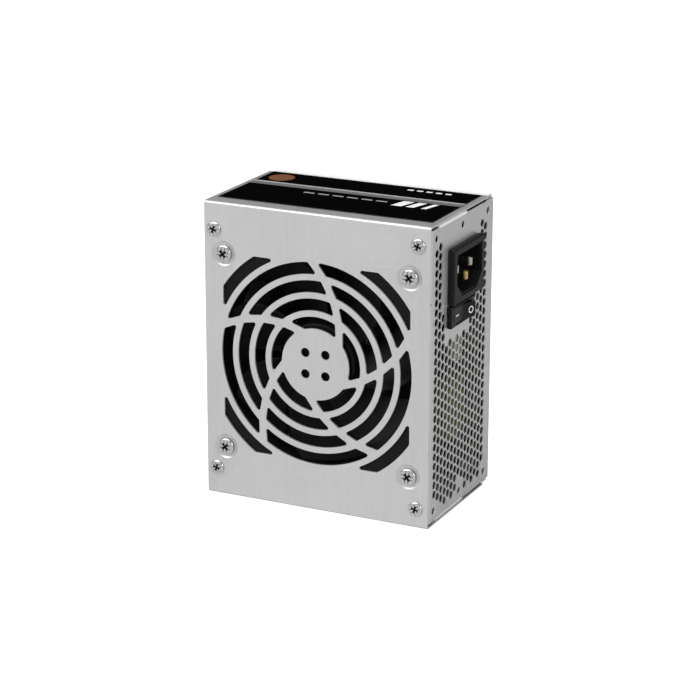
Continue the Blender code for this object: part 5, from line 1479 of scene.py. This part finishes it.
def make_stage():
    bm = bmesh.new()
    bmesh.ops.create_grid(bm, x_segments=1, y_segments=1, size=6.0)
    floor = object_from("studio_floor", bm)
    floor.location = (0, 0, -0.0002)
    pale = bpy.data.materials.new("studio_floor")
    pale.use_nodes = True
    shader = pale.node_tree.nodes["Principled BSDF"]
    shader.inputs["Base Color"].default_value = (0.6, 0.6, 0.6, 1)
    shader.inputs["Roughness"].default_value = 0.9
    shader.inputs["Specular IOR Level"].default_value = 0.1
    # The floor glows to the camera only, so that it is as white as the backdrop and lights nothing.
    shader.inputs["Emission Color"].default_value = (1, 1, 1, 1)
    seen = pale.node_tree.nodes.new("ShaderNodeLightPath").outputs["Is Camera Ray"]
    pale.node_tree.links.new(seen, shader.inputs["Emission Strength"])
    floor.data.materials.append(pale)
    world = bpy.data.worlds.new("studio")
    bpy.context.scene.world = world
    world.use_nodes = True
    sky = world.node_tree.nodes["Background"]
    sky.inputs["Color"].default_value = (1.0, 1.0, 1.0, 1)
    # The backdrop is pure white to the camera. The pieces are lit by a dimmer room, darkest behind them.
    tree = world.node_tree
    seen = tree.nodes.new("ShaderNodeLightPath").outputs["Is Camera Ray"]
    split = tree.nodes.new("ShaderNodeSeparateXYZ")
    tree.links.new(tree.nodes.new("ShaderNodeTexCoord").outputs["Generated"], split.inputs[0])
    room = math_node(tree, "MULTIPLY_ADD", split.outputs["Y"], -0.45 * ROOM_LIGHT, 0.55 * ROOM_LIGHT)
    strength = math_node(tree, "MAXIMUM", math_node(tree, "MULTIPLY", seen, 1.05), room)
    tree.links.new(strength, sky.inputs["Strength"])
    for name, place, size, power in (
        ("key_light", (-0.9, -1.3, 1.1), 1.2, 17.5),
        ("side_light", (1.5, -0.5, 0.6), 0.6, 10.0),
        ("top_light", (0.0, -0.3, 1.7), 1.0, 17.0),
    ):
        lamp = bpy.data.lights.new(name, "AREA")
        lamp.size = size
        lamp.energy = power
        obj = bpy.data.objects.new(name, lamp)
        bpy.context.scene.collection.objects.link(obj)
        obj.location = place
        obj.rotation_euler = (Vector((0, 0, MIDDLE)) - Vector(place)).to_track_quat("-Z", "Y").to_euler()
    make_camera()
    bpy.context.scene.view_settings.view_transform = "Standard"


def make_camera():
    """The camera stands to the front right and a little above, with almost no roll."""
    data = bpy.data.cameras.new("camera")
    data.sensor_width = 36.0
    data.lens = 124.4
    data.clip_start = 0.05
    camera = bpy.data.objects.new("camera", data)
    bpy.context.scene.collection.objects.link(camera)
    camera.location = (0.41429, -0.85825, 0.36015)
    downward, around, roll = math.radians(90 - 17.4975), math.radians(25.7587), math.radians(0.1512)
    turn = Matrix.Rotation(around, 3, "Z") @ Matrix.Rotation(downward, 3, "X") @ Matrix.Rotation(roll, 3, "Z")
    camera.rotation_euler = turn.to_euler()
    bpy.context.scene.camera = camera


# Operators, panel and registration


class BuildCover(bpy.types.Operator):
    """Build the cover sheet with its grille"""

    bl_idname = "small_supply.build_cover"
    bl_label = "Cover"

    def execute(self, context):
        make_cover(context.scene.supply_case)
        return {"FINISHED"}


class BuildTray(bpy.types.Operator):
    """Build the tray with its vent"""

    bl_idname = "small_supply.build_tray"
    bl_label = "Tray"

    def execute(self, context):
        make_tray(context.scene.supply_case)
        return {"FINISHED"}


class BuildLabel(bpy.types.Operator):
    """Build the printed label"""

    bl_idname = "small_supply.build_label"
    bl_label = "Label"

    def execute(self, context):
        make_label(context.scene.supply_case)
        return {"FINISHED"}


class BuildScrews(bpy.types.Operator):
    """Build the case screws and the fan screws"""

    bl_idname = "small_supply.build_screws"
    bl_label = "Screws"

    def execute(self, context):
        make_screws()
        return {"FINISHED"}


class BuildFan(bpy.types.Operator):
    """Build the fan"""

    bl_idname = "small_supply.build_fan"
    bl_label = "Fan"

    def execute(self, context):
        make_fan(context.scene.supply_fan)
        return {"FINISHED"}


class BuildInlet(bpy.types.Operator):
    """Build the mains inlet and its blades"""

    bl_idname = "small_supply.build_inlet"
    bl_label = "Mains inlet"

    def execute(self, context):
        make_inlet(context.scene.supply_connectors)
        return {"FINISHED"}


class BuildSwitch(bpy.types.Operator):
    """Build the rocker switch"""

    bl_idname = "small_supply.build_switch"
    bl_label = "Rocker switch"

    def execute(self, context):
        make_switch(context.scene.supply_connectors)
        return {"FINISHED"}


class BuildOutlet(bpy.types.Operator):
    """Build the bush of the cable outlet"""

    bl_idname = "small_supply.build_outlet"
    bl_label = "Cable bush"

    def execute(self, context):
        make_outlet()
        return {"FINISHED"}


class BuildWindings(bpy.types.Operator):
    """Wind the chokes and transformers"""

    bl_idname = "small_supply.build_windings"
    bl_label = "Windings"

    def execute(self, context):
        make_windings(context.scene.supply_board)
        return {"FINISHED"}


class BuildBoard(bpy.types.Operator):
    """Build the circuit board's parts"""

    bl_idname = "small_supply.build_board"
    bl_label = "Board parts"

    def execute(self, context):
        make_board_parts(context.scene.supply_board)
        return {"FINISHED"}


class BuildLeads(bpy.types.Operator):
    """Build the leads inside the case"""

    bl_idname = "small_supply.build_leads"
    bl_label = "Leads"

    def execute(self, context):
        make_leads()
        return {"FINISHED"}


class BuildStage(bpy.types.Operator):
    """Build the floor, lights and camera"""

    bl_idname = "small_supply.build_stage"
    bl_label = "Stage"

    def execute(self, context):
        make_stage()
        return {"FINISHED"}


OPERATORS = (
    BuildCover,
    BuildTray,
    BuildLabel,
    BuildScrews,
    BuildFan,
    BuildInlet,
    BuildSwitch,
    BuildOutlet,
    BuildWindings,
    BuildBoard,
    BuildLeads,
    BuildStage,
)
SETTINGS = {
    "supply_case": CaseSettings,
    "supply_fan": FanSettings,
    "supply_connectors": ConnectorSettings,
    "supply_board": BoardSettings,
}


class SupplyPanel(bpy.types.Panel):
    """Lists the settings and the pieces that can be built"""

    bl_idname = "VIEW3D_PT_small_supply"
    bl_label = "Power Supply"
    bl_space_type = "VIEW_3D"
    bl_region_type = "UI"
    bl_category = "Power Supply"

    def draw(self, context):
        for name, settings in SETTINGS.items():
            column = self.layout.box().column(align=True)
            for label in settings.__annotations__:
                column.prop(getattr(context.scene, name), label)
        for operator in OPERATORS:
            self.layout.operator(operator.bl_idname)


CLASSES = (*SETTINGS.values(), *OPERATORS, SupplyPanel)


def register():
    for cls in CLASSES:
        bpy.utils.register_class(cls)
    for name, settings in SETTINGS.items():
        setattr(bpy.types.Scene, name, PointerProperty(type=settings))


def unregister():
    for name in SETTINGS:
        delattr(bpy.types.Scene, name)
    for cls in reversed(CLASSES):
        bpy.utils.unregister_class(cls)


def main():
    register()
    for operator in OPERATORS:
        getattr(bpy.ops.small_supply, operator.bl_idname.split(".")[1])()


if __name__ == "__main__":
    main()
